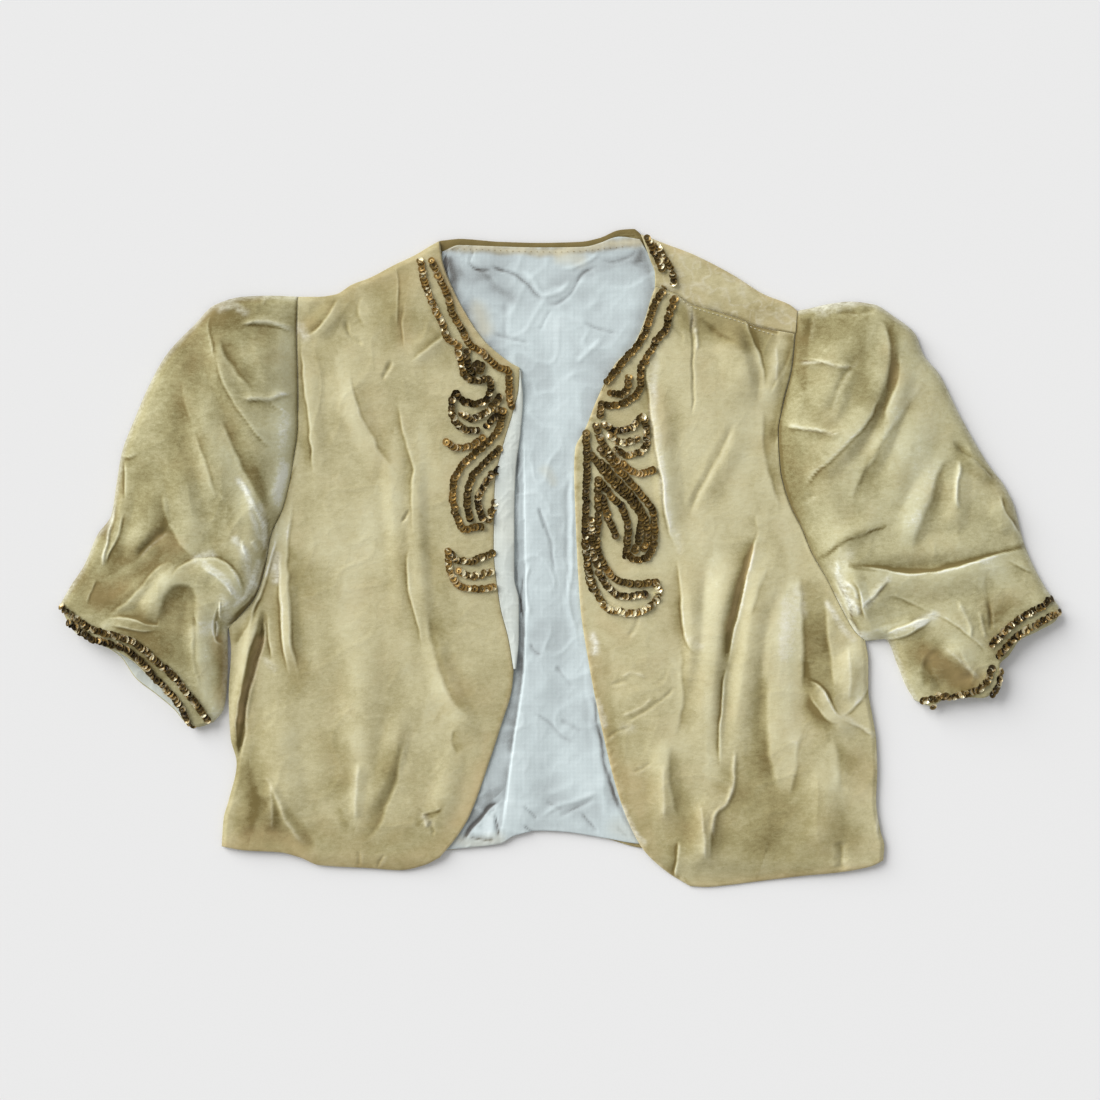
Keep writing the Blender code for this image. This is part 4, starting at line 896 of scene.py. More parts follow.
sleeveRightMarks = {
    "nap": (
        (-0.5, 1.9, (218, -6), (244, -9), (274, -10), (304, -4), (335, 4), (352, 8)),
        (-0.45, 1.9, (200, 1), (213, 12), (230, 19), (245, 24)),
        (-0.35, 1.52, (242, 88), (233, 73), (225, 56)),
        (-0.24, 6.08, (253, 169), (253, 143), (247, 120), (244, 101)),
        (-0.16, 6.08, (233, 177), (227, 154), (234, 120)), (-0.3, 5.32, (303, 81), (314, 65), (327, 59)),
        (-0.18, 15.2, (289, 40), (304, 27), (323, 21)),
        (-0.14, 6.84, (221, -2), (259, -4), (297, 2), (335, 10)),
        (-0.25, 3.8, (189, 177), (187, 158), (186, 131)), (-0.2, 10.6, (176, 90), (179, 71), (184, 52)),
        (-0.14, 12.2, (206, 162), (217, 173)), (-0.34, 8.36, (278, -71), (293, -81), (308, -96)),
        (-0.22, 6.08, (322, -32), (326, -49), (336, -41)), (-0.22, 3.8, (225, -21), (219, -13), (228, -15)),
        (0.18, 9.88, (276, 105), (270, 71), (260, 29)), (0.16, 13.7, (255, -43), (289, -41), (308, -70)),
        (0.35, 3.8, (230, -58), (259, -50), (282, -46)), (0.18, 6.08, (323, -3), (342, -19), (358, -30)),
        (0.14, 19.8, (263, 82), (297, 52)),
    ),
    "broad": (
        (0.12, 9.12, (250, 131), (247, 112)), (-0.18, 19.8, (202, 179), (221, 173), (225, 124)),
        (-0.16, 13.7, (194, 105), (196, 67), (201, 44)), (0.12, 22.8, (247, 78), (263, 44), (297, 10)),
        (0.2, 13.7, (263, 162), (268, 139), (260, 105), (255, 90)), (-0.1, 12.2, (196, 141), (192, 120)),
        (0.12, 12.2, (327, -13), (329, -36)), (0.1, 18.2, (301, 44), (327, 14)),
        (-0.14, 10.6, (219, 29), (222, 10)), (-0.32, 15.2, (274, -74), (285, -87), (304, -96)),
        (-0.18, 12.2, (323, -51), (331, -66)),
    ),
    "crush": (
        (1.1, 3.04, (212, -14), (217, -28), (223, -41)), (1, 3.04, (208, -30), (217, -47), (225, -59)),
        (0.7, 3.04, (248, -15), (238, -26), (230, -36)), (0.8, 3.04, (268, -49), (283, -43)),
        (0.6, 4.56, (198, 188), (209, 193), (221, 194)), (0.7, 3.8, (219, -58), (231, -60)),
        (0.3, 6.08, (215, 2), (210, -6)),
    ),
    "stain": (
        (0.5, 9.12, (278, -74), (295, -84), (314, -94)), (0.3, 7.6, (323, -36), (339, -32)),
        (0.25, 6.84, (247, 158), (253, 135)),
    ),
}
frontLeftMarks = {
    "nap": (
        (-0.4, 2.28, (-243, -62), (-238, -50), (-230, -36)), (0.3, 2.28, (-213, 33), (-216, 10), (-222, -13)),
        (-0.8, 3.8, (-226, -62), (-232, -84), (-238, -104), (-241, -123), (-243, -140)),
        (-0.18, 7.6, (-103, 8), (-91, -2), (-86, -21)),
        (-0.18, 15.2, (-174, -138), (-159, -165), (-184, -184)),
        (-0.28, 6.84, (-235, -161), (-231, -188), (-234, -208)), (-0.2, 7.6, (-217, -203), (-225, -184)),
        (-0.14, 10.6, (-194, -62), (-196, -100)), (-0.14, 10.6, (-158, 196), (-163, 185)),
        (-0.15, 9.12, (-121, -47), (-125, -78), (-121, -108)),
        (-0.22, 3.8, (-102, -199), (-94, -193), (-89, -190)), (-0.2, 3.04, (-167, -192), (-162, -201)),
        (-0.2, 4.56, (-190, -216), (-197, -203), (-205, -193)),
        (0.15, 6.08, (-167, 150), (-162, 120), (-155, 90)),
        (0.14, 9.12, (-159, -2), (-163, -47), (-155, -93)),
        (0.15, 9.88, (-98, -108), (-102, -135), (-87, -123)), (0.14, 11.4, (-142, 44), (-150, 10)),
        (0.22, 5.32, (-155, -135), (-152, -169), (-154, -201)),
        (0.16, 4.56, (-106, 97), (-103, 67), (-104, 36)), (0.16, 5.32, (-125, 90), (-127, 67), (-123, 44)),
    ),
    "broad": (
        (0.2, 6.08, (-199, 78), (-202, 52), (-206, 17)), (-0.12, 12.2, (-123, 196), (-125, 166)),
        (-0.1, 19.8, (-178, 173), (-174, 105)), (-0.22, 18.2, (-125, 181), (-91, 181), (-83, 158)),
        (-0.16, 13.7, (-136, 207), (-117, 215)), (-0.14, 13.7, (-197, -2), (-184, -24)),
        (-0.12, 10.6, (-125, 10), (-121, -2)), (0.12, 13.7, (-125, -36), (-123, -93)),
        (-0.2, 22.8, (-235, -161), (-220, -199), (-167, -216), (-98, -211)),
        (-0.1, 19.8, (-159, -169), (-121, -184)), (0.1, 10.6, (-193, -62), (-178, -85)),
    ),
    "crush": (
        (0.8, 3.04, (-215, 2), (-216, -18)), (0.5, 3.8, (-197, 175), (-193, 169)),
        (0.3, 3.04, (-216, -84), (-222, -78)), (0.25, 3.04, (-103, -195), (-98, -201)),
    ),
    "stain": (
        (0.35, 6.08, (-174, -230), (-136, -231), (-98, -222), (-76, -193), (-62, -157)),
        (0.3, 3.8, (-55, -135), (-63, -176), (-77, -203)),
        (0.5, 3.8, (-94, 225), (-79, 196), (-64, 166), (-41, 146)),
        (0.3, 15.2, (-163, 211), (-133, 220), (-110, 225)),
        (0.4, 7.6, (-250, -216), (-220, -211), (-188, -228)), (0.35, 6.08, (-197, 173), (-188, 179)),
        (0.7, 3.04, (-226, -62), (-232, -84), (-238, -104), (-241, -123)),
        (0.3, 6.08, (-118, 211), (-118, 166)), (0.22, 10.6, (-76, -100), (-57, -108)),
    ),
}
frontRightMarks = {
    "nap": (
        (0.2, 3.8, (72, 154), (72, 116), (76, 82), (81, 48), (86, 17)),
        (-0.45, 3.04, (143, -3), (137, -26), (131, -49), (127, -70)),
        (-0.14, 5.32, (34, -70), (37, -100), (41, -131), (48, -161), (52, -184)),
        (-0.24, 8.36, (98, 179), (120, 169), (143, 162)),
        (-0.45, 3.8, (177, 166), (174, 141), (169, 119), (165, 93)),
        (-0.22, 9.88, (152, -93), (149, -123), (157, -155)),
        (-0.32, 6.08, (186, -84), (192, -99), (196, -112)),
        (-0.22, 6.84, (203, -125), (210, -140), (219, -155)),
        (-0.2, 16.7, (139, -176), (168, -192), (160, -216)), (-0.16, 12.2, (96, -222), (105, -205)),
        (-0.18, 11.4, (230, -222), (213, -211)), (-0.18, 6.84, (164, 17), (171, -2)),
        (-0.14, 8.36, (160, 90), (150, 61)), (-0.16, 6.08, (128, 219), (133, 196)),
        (-0.15, 10.6, (206, -184), (221, -207)), (-0.2, 3.04, (119, -173), (125, -176)),
        (0.2, 8.36, (114, -2), (111, -32), (109, -62)), (0.2, 6.08, (111, -108), (113, -138), (110, -161)),
        (0.22, 9.12, (171, -32), (168, -70), (172, -108), (177, -138)),
        (0.28, 6.84, (221, -68), (230, -85), (225, -102)), (0.16, 12.2, (86, 135), (99, 105), (92, 74)),
        (0.14, 9.88, (137, 74), (133, 44), (141, 21)), (0.14, 8.36, (215, -169), (238, -184)),
        (0.16, 6.08, (168, 173), (164, 150), (156, 128)), (0.16, 6.08, (194, -100), (204, -117), (221, -125)),
        (0.14, 6.84, (206, -142), (209, -161), (204, -184)), (0.12, 18.2, (76, -2), (82, -62)),
    ),
    "broad": (
        (-0.12, 9.12, (99, -2), (101, -32)), (-0.14, 9.12, (194, -100), (196, -117)),
        (-0.22, 18.2, (99, 187), (122, 182), (146, 175)), (0.12, 15.2, (141, 101), (139, 52)),
        (0.16, 15.2, (169, 44), (172, -2), (168, -62)), (-0.1, 15.2, (195, -32), (193, -100), (196, -142)),
        (0.16, 10.6, (139, -93), (141, -135)), (-0.2, 25.8, (67, -184), (99, -211), (137, -207), (183, -211)),
        (-0.12, 19.8, (141, -176), (175, -184)), (-0.1, 15.2, (86, -21), (89, -47)),
    ),
    "crush": (
        (0.5, 3.04, (71, 150), (71, 112), (75, 82), (79, 52), (85, 21)),
        (0.8, 3.04, (24, -58), (26, -64), (26, -71)), (0.6, 2.28, (28, -108), (33, -119), (35, -126)),
        (0.6, 2.28, (48, -188), (52, -198), (58, -208), (64, -216)), (0.4, 4.56, (180, -24), (184, -41)),
        (0.8, 2.28, (204, -34), (213, -51), (222, -61)), (0.35, 3.04, (89, 21), (92, 5)),
        (0.3, 3.04, (98, -62), (107, -67)), (0.3, 2.28, (86, 198), (99, 192), (102, 173)),
        (0.25, 3.8, (50, -127), (55, -129)), (0.3, 2.28, (213, -120), (230, -128), (241, -135)),
    ),
    "stain": (
        (0.3, 6.08, (23, -62), (31, -108), (40, -146), (54, -184), (73, -222)),
        (0.35, 6.84, (73, 124), (78, 90)), (0.25, 5.32, (107, -246), (168, -242), (228, -236)),
        (0.35, 4.56, (61, 196), (46, 150), (27, 112)), (0.3, 9.12, (55, -161), (61, -184)),
        (0.5, 3.04, (146, 8), (139, -14), (133, -33), (128, -53)), (0.3, 10.6, (227, -154), (230, -176)),
        (0.3, 6.08, (31, -47), (50, -62)),
    ),
}
liningMarks = {
    "nap": (
        (-0.45, 5.32, (-85, 235), (-45, 234), (0, 232), (38, 235), (69, 243)),
        (-0.16, 9.12, (-82, 225), (-68, 211), (-45, 220)),
        (-0.3, 1.22, (-32, 120), (-31, 82), (-32, 44), (-32, -2), (-30, -40)),
        (-0.25, 5.32, (69, 196), (61, 166), (40, 138), (25, 97)),
        (-0.3, 6.08, (-85, 225), (-79, 202), (-66, 175), (-45, 152)),
        (-0.18, 5.32, (-59, 219), (-48, 205), (-34, 196)), (-0.22, 9.12, (-62, 188), (-57, 175), (-48, 166)),
        (-0.3, 5.32, (63, 234), (67, 220), (70, 208)), (-0.16, 6.08, (0, 208), (23, 217), (57, 225)),
        (-0.35, 1.9, (20, -47), (23, -78), (26, -108), (32, -142), (40, -173), (51, -199), (61, -216)),
        (-0.2, 4.56, (19, 90), (20, 59), (19, 14), (22, -32)),
        (-0.2, 3.8, (25, -108), (34, -154), (43, -184)), (0.14, 5.32, (22, -62), (23, -108), (28, -154)),
        (0.14, 9.12, (-11, 181), (0, 135), (-7, 97)), (-0.14, 9.12, (0, -184), (23, -195)),
        (-0.2, 6.84, (-51, -184), (-60, -195), (-70, -208)),
        (0.62, 3.8, (-50, -193), (-56, -202), (-53, -208)), (0.45, 2.28, (-62, -206), (-57, -207)),
        (-0.12, 5.32, (-86, 234), (-83, 225), (-77, 217)), (-0.16, 6.84, (62, 242), (60, 233), (58, 223)),
    ),
    "stain": (
        (0.8, 3.8, (-83, 236), (-60, 236), (-30, 234), (0, 233), (31, 237), (61, 241)),
        (0.45, 5.32, (0, 228), (16, 226)), (0.5, 6.84, (-62, 188), (-57, 175)),
        (0.3, 5.32, (-87, -213), (-68, -216), (-45, -213)), (0.25, 3.8, (-11, 67), (-6, 59)),
        (0.2, 9.12, (46, -205), (61, -211)),
    ),
}
# Rows of sequins, each with its tone from brown to gold, its share of painted glint highlights, and its
# points
neckLeftRows = (
    (0.63, 0.3, (-105.3, 225), (-101.5, 206), (-96.1, 192.3), (-89.3, 177.8), (-84.7, 165.7), (-77.9, 161.9),
     (-75.6, 151.2), (-72.6, 140.6)),
    (0.59, 0.1, (-96.9, 225), (-90.8, 212), (-85.5, 199.9), (-80.9, 185.4), (-74.1, 173.3), (-68.8, 162.6),
     (-58.1, 155.8), (-48.3, 145.9), (-38.4, 140.6), (-38.4, 126.9), (-36.9, 114)),
)
scrollLeftRows = (
    (0.29, 0.15, (-70.3, 155.8), (-70.3, 147.4), (-65.7, 138.3)),
    (0.29, 0.1, (-65, 143.6), (-61.9, 147.4), (-58.1, 145.2), (-60.4, 141.4)),
    (0.29, 0.25, (-72.6, 139.1), (-65.7, 134.5), (-53.6, 135.3), (-52.1, 129.2), (-53.6, 122.4),
     (-64.2, 116.3), (-71.8, 118.6), (-78.7, 124.6)),
    (0.29, 0.45, (-78.7, 124.6), (-81.7, 118.6), (-81.7, 110.2), (-76.4, 100.3), (-69.5, 96.5),
     (-61.9, 96.5)),
    (0.32, 0.5, (-74.1, 109.4), (-67.3, 105.6), (-55.9, 110.2), (-45.2, 122.4)),
    (0.26, 0.3, (-45.2, 112.5), (-49.8, 106.4), (-55.1, 100.3)),
    (0.62, 0.15, (-85.5, 88.2), (-80.2, 83.6), (-70.3, 84.4), (-58.1, 90.4)),
    (0.5, 0.06, (-42.9, 111.7), (-46, 98), (-61.9, 81.3), (-75.6, 67.6), (-80.2, 57.8), (-80.9, 45.6),
     (-77.9, 31.2), (-71.8, 22), (-58.1, 24.3)),
    (0.38, 0.08, (-46, 82.1), (-57.4, 71.4), (-67.3, 59.3), (-70.3, 45.6), (-68, 28.1)),
    (0.29, 0.4, (-47.5, 67.6), (-57.4, 55.5), (-61.9, 43.3), (-58.1, 28.9)),
    (0.44, 0.3, (-49.8, 44.1), (-51.3, 36.5), (-52.8, 28.9)),
    (0.65, 0.3, (-84, 4.6), (-84, -5.3), (-80.2, -16), (-71.8, -22.8), (-60.4, -23.6), (-49.8, -22)),
    (0.44, 0.45, (-84, 4.6), (-76.4, -2.3), (-68, -2.3), (-51.3, 3.8)),
    (0.47, 0.5, (-76.4, -9.9), (-68, -13.7), (-51.3, -9.9)),
)
neckRightRows = (
    (0.38, 0.35, (65.7, 244.7), (70.3, 234.1), (77.9, 218.9)),
    (0.44, 0.4, (74.1, 236.4), (77.1, 230.3), (84.7, 218.1), (87, 207.5)),
    (0.49, 0.12, (78.7, 203.7), (74.1, 196.1), (70.3, 187), (65, 171.8), (58.1, 160.4), (46.7, 147.4),
     (36.1, 133.8)),
    (0.48, 0.2, (87, 196.1), (84, 187), (80.2, 172.5), (74.1, 166.4), (68.8, 156.6), (61.2, 140.6),
     (61.2, 130), (54.3, 120.8), (42.2, 115.5), (31.5, 116.3), (30.8, 107.9)),
    (0.53, 0.1, (52.1, 136.8), (51.3, 129.2), (46, 123.9), (38.4, 124.6)),
)
scrollRightRows = (
    (0.41, 0.12, (20.1, 94.2), (20.9, 72.2), (20.1, 45.6), (19.4, 19.8), (20.9, -6.8), (24.7, -23.6)),
    (0.44, 0.3, (27.7, 99.6), (31.5, 88.9), (39.1, 78.3)),
    (0.41, 0.4, (33.8, 101.1), (42.2, 96.5), (52.8, 98), (62.7, 107.2), (65.7, 98), (65.7, 87.4),
     (60.4, 79.8), (51.3, 78.3), (42.2, 82.1)),
    (0.5, 0.5, (38.4, 92.7), (47.5, 87.4), (58.9, 90.4)),
    (0.65, 0.08, (39.1, 77.5), (51.3, 68.4), (60.4, 63.8), (71.8, 66.9)),
    (0.44, 0.06, (24.7, 77.5), (40.7, 56.2), (55.1, 41.8), (61.9, 30.4), (60.4, 16.7), (56.6, 5.3)),
    (0.5, 0.12, (31.5, 82.1), (47.5, 63.8), (62.7, 47.1), (71.1, 32.7), (71.8, 16.7), (68, 2.3),
     (60.4, -1.5), (49.8, 2.3)),
    (0.42, 0.08, (29.3, 59.3), (40.7, 45.6), (49.8, 32.7), (52.1, 19.8), (50.5, 3.8)),
    (0.44, 0.05, (31.5, 72.2), (40.7, 61.6), (50.5, 51.7), (59.7, 39.5), (65.7, 27.4), (66.5, 15.2),
     (63.5, 6.8)),
    (0.41, 0.15, (33.1, 45.6), (36.9, 30.4), (42.2, 16.7)),
    (0.45, 0.1, (29.3, 59.3), (29.3, 32.7), (27.7, 12.9), (33.1, -3.8), (42.9, -16), (56.6, -19.8),
     (73.3, -18.2)),
    (0.35, 0.45, (23.9, 28.9), (24.7, 9.9), (29.3, -7.6), (36.9, -22), (48.3, -28.9), (64.2, -27.4)),
    (0.47, 0.6, (19.4, 16.7), (22.4, -10.6), (29.3, -28.9), (39.1, -39.5), (55.1, -41.8), (66.5, -38),
     (74.9, -27.4), (73.3, -18.2)),
)
cuffLeftRows = (
    (0.33, 0.4, (-376.6, -37.2), (-365.9, -45.6), (-353.8, -53.2), (-340.1, -57.8), (-325.7, -61.6),
     (-314.3, -68.4), (-305.1, -77.5), (-296.8, -84.4), (-289.2, -92), (-277.8, -106.4), (-266.4, -122.4)),
    (0.26, 0.4, (-370.5, -48.6), (-353.8, -60.8), (-340.1, -64.6), (-327.9, -68.4), (-316.5, -77.5),
     (-307.4, -88.2), (-298.3, -98), (-289.9, -107.2), (-277.8, -126.9)),
)
cuffRightRows = (
    (0.23, 0.6, (372, -31.2), (360.6, -38.8), (348.5, -45.6), (337.1, -54.7), (325.7, -65.4)),
    (0.2, 0.6, (378.1, -41), (363.7, -48.6), (348.5, -57), (339.3, -65.4), (331, -74.5)),
    (0.35, 0.5, (326.4, -83.6), (322.6, -93.5), (315, -100.3), (302.9, -103.4), (290.7, -104.9),
     (275.5, -107.9)),
    (0.32, 0.5, (333.3, -85.9), (329.5, -98.8), (321.1, -107.2), (305.9, -108.7), (289.9, -109.4),
     (277, -114)),
)

# Velvet: colours from deep painted shade through the middle tone to painted highlight and silver

velvetColours = {
    "deep": screen(112, 98, 54),
    "shaded": screen(158, 148, 104),
    "middle": screen(194, 186, 146),
    "light": screen(211, 206, 170),
    "silver": screen(232, 230, 214),
    "stain": screen(188, 164, 118),
    "grain": 1.0,
}
sleeveColours = {
    "deep": screen(112, 99, 56),
    "shaded": screen(152, 144, 102),
    "middle": screen(188, 182, 142),
    "light": screen(206, 203, 168),
    "silver": screen(230, 231, 216),
    "stain": screen(178, 154, 106),
    "grain": 1.5,
}


def goldVelvet(name, colours):
    book = NodeBook(name)
    cloudy = book.noise(14.0, 3.0, 0.5)
    mottle = book.noise(85.0, 4.0, 0.6)
    stretched = book.add("Mapping", {}, {"Vector": book.place, "Scale": (0.55, 1.0, 1.0)})
    streak = book.noise(420.0, 3.0, 0.7, stretched)
    pile = book.noise(1500.0, 2.0, 0.7)
    nap = book.reading("nap")
    crush = book.reading("crush")
    stain = book.reading("stain")
    fine = (streak - 0.5) * 0.3 + (pile - 0.5) * 0.24
    # the reading carries painted light and shade; with random tone it picks a colour from the ramp
    tone = nap + (cloudy - 0.5) * 0.4 + (mottle - 0.5) * 0.32 + fine * colours["grain"]
    stops = [
        (0.0, colours["deep"]),
        (0.26, colours["shaded"]),
        (0.52, colours["middle"]),
        (0.78, colours["light"]),
        (1.0, colours["silver"]),
    ]
    base = book.add("ValToRGB", {"stops": stops}, {"Fac": tone.clamped()})
    warm = book.noise(31.0, 4.0, 0.6)
    patchy = (stain * (0.2 + mottle * 0.9) + (warm * 2.4 - 1.15).clamped() * 0.3).clamped()
    base = book.blend(patchy, base, colours["stain"])
    # crushed pile with painted sheen: blended towards the silver colour
    paintedSheen = (crush * (streak * 2.4 + mottle * 1.6 - 1.15)).clamped()
    base = book.blend(paintedSheen, base, colours["silver"])
    height = pile * 0.5 + streak * 0.9 + mottle * 0.5 + paintedSheen * 0.6
    bump = book.add("Bump", {}, {"Strength": 0.5, "Distance": 0.0006, "Height": height}, output="Normal")
    return book.finish(
        {
            "Base Color": base,
            "Roughness": 0.78 - paintedSheen * 0.25,
            "Normal": bump,
            "Sheen Weight": 0.75,
            "Sheen Roughness": 0.38,
            "Sheen Tint": (0.98, 0.95, 0.78, 1.0),
            "Specular IOR Level": 0.25,
        }
    )


liningColours = {
    "deep": screen(98, 97, 94),
    "shaded": screen(174, 183, 184),
    "middle": screen(201, 213, 214),
    "lit": screen(218, 229, 230),
    "yellowed": screen(208, 201, 172),
}


def paleLining(name, warmth):
    book = NodeBook(name)
    cloudy = book.noise(22.0, 3.0, 0.55)
    threads = {"Vector": book.place, "Scale": 320.0, "Distortion": 0.6}
    across = book.add("TexWave", {"wave_type": "BANDS", "bands_direction": "X"}, threads)
    along = book.add("TexWave", {"wave_type": "BANDS", "bands_direction": "Y"}, threads)
    slub = book.noise(900.0, 3.0, 0.7)
    # the reading carries painted light and shade, turned into colour by the ramp
    tone = book.reading("nap") + (cloudy - 0.5) * 0.5 + (slub - 0.5) * 0.2
    stops = [
        (0.0, liningColours["deep"]),
        (0.3, liningColours["shaded"]),
        (0.62, liningColours["middle"]),
        (1.0, liningColours["lit"]),
    ]
    base = book.add("ValToRGB", {"stops": stops}, {"Fac": tone.clamped()})
    yellow = (book.reading("stain") * (0.5 + cloudy) + warmth * cloudy).clamped()
    base = book.blend(yellow, base, liningColours["yellowed"])
    weave = across * 0.5 + along * 0.5 + slub * 0.8
    bump = book.add("Bump", {}, {"Strength": 0.35, "Distance": 0.0003, "Height": weave}, output="Normal")
    return book.finish(
        {
            "Base Color": base,
            "Roughness": 0.52 + slub * 0.15,
            "Normal": bump,
            "Sheen Weight": 0.2,
            "Sheen Roughness": 0.5,
            "Specular IOR Level": 0.35,
        }
    )


def cupSequins():
    book = NodeBook("cupSequins")
    tone = book.reading("tone")
    rub = book.noise(900.0, 2.0, 0.6)
    stops = [
        (0.0, screen(24, 14, 4)),
        (0.28, screen(82, 66, 34)),
        (0.5, screen(128, 108, 62)),
        (0.7, screen(172, 136, 68)),
        # pale gold, reached by the painted glints
        (1.0, screen(255, 248, 212)),
    ]
    base = book.add("ValToRGB", {"stops": stops}, {"Fac": (tone + (rub - 0.5) * 0.15).clamped()})
    return book.finish({"Base Color": base, "Roughness": 0.22 + rub * 0.25, "Metallic": 0.55})


def threadCloth(name, colour):
    book = NodeBook(name)
    twist = book.noise(1500.0, 2.0, 0.6)
    base = book.blend(twist, colour, tuple(part * 0.7 for part in colour))
    return book.finish({"Base Color": base, "Roughness": 0.7})


velvet = goldVelvet("goldVelvet", velvetColours)
sleeveVelvet = goldVelvet("sleeveVelvet", sleeveColours)
lining = paleLining("paleLining", 0.0)
agedLining = paleLining("agedLining", 0.25)
sequinFinish = cupSequins()
tanThread = threadCloth("tanThread", screen(170, 148, 104))
paleThread = threadCloth("paleThread", screen(214, 208, 180))
print("finishes made")

# Shared settings of the velvet pieces

velvetRelief = {
    "frontTop": 5.2,
    "sewnEdgeTop": 3.9,
    "hemTop": 2.2,
    "hemDropStart": 2.5,
    "hemDropWidth": 20.0,
    "frontSwell": 1.8,
    "swellWidth": 45.0,
    "waves": ((42, 0.675, 11), (19, 0.2625, 12)),  # size, height, seed
    "crumples": ((24, 0.275, 21), (11, 0.11, 31), (5, 0.04, 41)),
    "deepest": -2.6,
    "seamDip": 0.6,
    "openDip": 0.5,
    "dipWidth": 1.6,
    "rim": ((0.35, 0.25), (0.6, 0.8), (0.4, 1.5), (-0.6, 1.9), (-5.0, 1.9)),
    "drawnIn": 0.7,
}
# painted light and shade of the velvet's tone, and the stains along its edges
velvetShadingAndStain = {
    "level": 0.52,
    "fromCrest": 0.05,
    "fromSwell": 0.03,
    "fromCrease": 0.4,
    "crestReach": 5.0,
    "frontWidth": 220.0,
    "markStrength": 0.75,
    "seamShade": 0.28,
    "edgeLight": 0.1,
    "edgeShade": 0.07,
    "edgeStain": 0.35,
    "foldSilver": 0.7,
    "silverFrom": 0.12,
}


def marked(marks, kind, x, y):  # marks of one kind, added up, with wandering edges
    total = np.zeros(x.shape)
    bentX = x + 1.3 * cloud(x, y, 13, 53) + 0.6 * cloud(x, y, 4.5, 54)
    bentY = y + 1.3 * cloud(x, y, 13, 55) + 0.6 * cloud(x, y, 4.5, 56)
    for amount, reach, *points in marks.get(kind, ()):
        line = smoothLine(points, 12)
        gap, along, side = distanceTo(line, bentX, bentY)
        lean = 0.0
        if kind == "nap":  # shade ends sharply away from the light, and light towards it
            lean = -0.65 * np.sign(amount) * litShare(line, along, side)
        total += amount * stepUp(1 - gap / (1.7 * reach * (1 + lean)))
    return total


def creaseAndFold(tables, x, y):
    risen, creaseShading = creaseRelief(tables[0], x, y)
    folded, foldShading = foldRelief(tables[1], x, y)
    return risen + folded, (creaseShading, foldShading)


# velvet colour readings: painted light and shade from relief, creases, folds and marks; crushed pile with
# painted sheen; stains
def pileReadings(settings, top, light, x, y, spacing):
    marks = settings["marks"]
    creaseShading, foldShading = light
    shade = np.clip(velvetShadingAndStain["markStrength"] * marked(marks, "nap", x, y), -0.5, 0.4)
    # random broad tone and broad patches of painted light and shade
    broad = 0.06 * cloud(x, y, 52, 57) + 0.04 * cloud(x, y, 24, 58) + marked(marks, "broad", x, y)
    nap = shadingFromRelief(top, creaseShading, spacing) + settings["base"] + broad + shade + foldShading
    # crushed pile from the marks, and painted sheen where creases and folds are painted light
    crush = marked(marks, "crush", x, y) * (0.55 + 0.45 * crumple(x, y, 7, 51)) + 0.9 * np.maximum(creaseShading, 0)
    crush += velvetShadingAndStain["foldSilver"] * np.maximum(foldShading - velvetShadingAndStain["silverFrom"], 0)
    return [nap, np.clip(crush, 0, 1.2), np.clip(marked(marks, "stain", x, y), 0, 1)]


def clothRipple(x, y, calm=1.0):  # uneven hand-pressed surface: waves and small crumples
    rise = np.zeros(x.shape)
    for size, height, seed in velvetRelief["waves"]:
        rise += height * cloud(x, y, size, seed) * calm
    for size, height, seed in velvetRelief["crumples"]:
        rise += height * crumple(x, y, size, seed) * calm
    return rise


def shadingFromRelief(top, creaseShading, spacing):  # painted highlight on crests and painted shade in hollows
    reach = max(1, int(velvetShadingAndStain["crestReach"] / spacing))
    crest = top - blurred(top, reach)
    swell = blurred(top, reach) - blurred(top, reach * 3)
    shade = velvetShadingAndStain["level"] + velvetShadingAndStain["fromCrest"] * crest + velvetShadingAndStain["fromSwell"] * swell
    return shade + velvetShadingAndStain["fromCrease"] * creaseShading


def frontTop(x, y, settings):
    relief = velvetRelief
    fromFalling = edgeDistance(x, y, *settings["falling"])
    fromOpen = edgeDistance(x, y, *openEdges)
    fromSeam = edgeDistance(x, y, *seamEdges)
    inside = np.minimum(fromOpen, fromFalling)
    swell = relief["frontSwell"] * stepUp(inside / relief["swellWidth"])
    swell = swell * stepUp(fromSeam / relief["swellWidth"])
    level = relief["sewnEdgeTop"] + (relief["frontTop"] - relief["sewnEdgeTop"]) * stepUp(fromFalling / 4)
    past, _, side = distanceTo(smoothLine(hemBack, 60), x, y)
    drop = stepUp((np.where(side < 0, past, 0) - relief["hemDropStart"]) / relief["hemDropWidth"])
    level = level + (relief["hemTop"] - level) * drop
    hold = stepUp(fromSeam / 8) * stepUp(fromFalling / 5)
    fineHold = stepUp(fromSeam / 3) * stepUp(fromFalling / 3) * stepUp((fromOpen + 1.5) / 4)
    rise, light = creaseAndFold(settings["creases"], x, y)
    calm = 0.35 + 0.65 * stepUp(fromOpen / 30)
    raised = rollHeights(settings["rolls"], x, y) * hold + (rise + clothRipple(x, y, calm)) * fineHold
    top = level + swell + np.maximum(raised, relief["deepest"])
    dip = relief["seamDip"] * fading(fromSeam, relief["dipWidth"])
    dip = dip + relief["openDip"] * fading(fromOpen, relief["dipWidth"])
    return top - dip, light


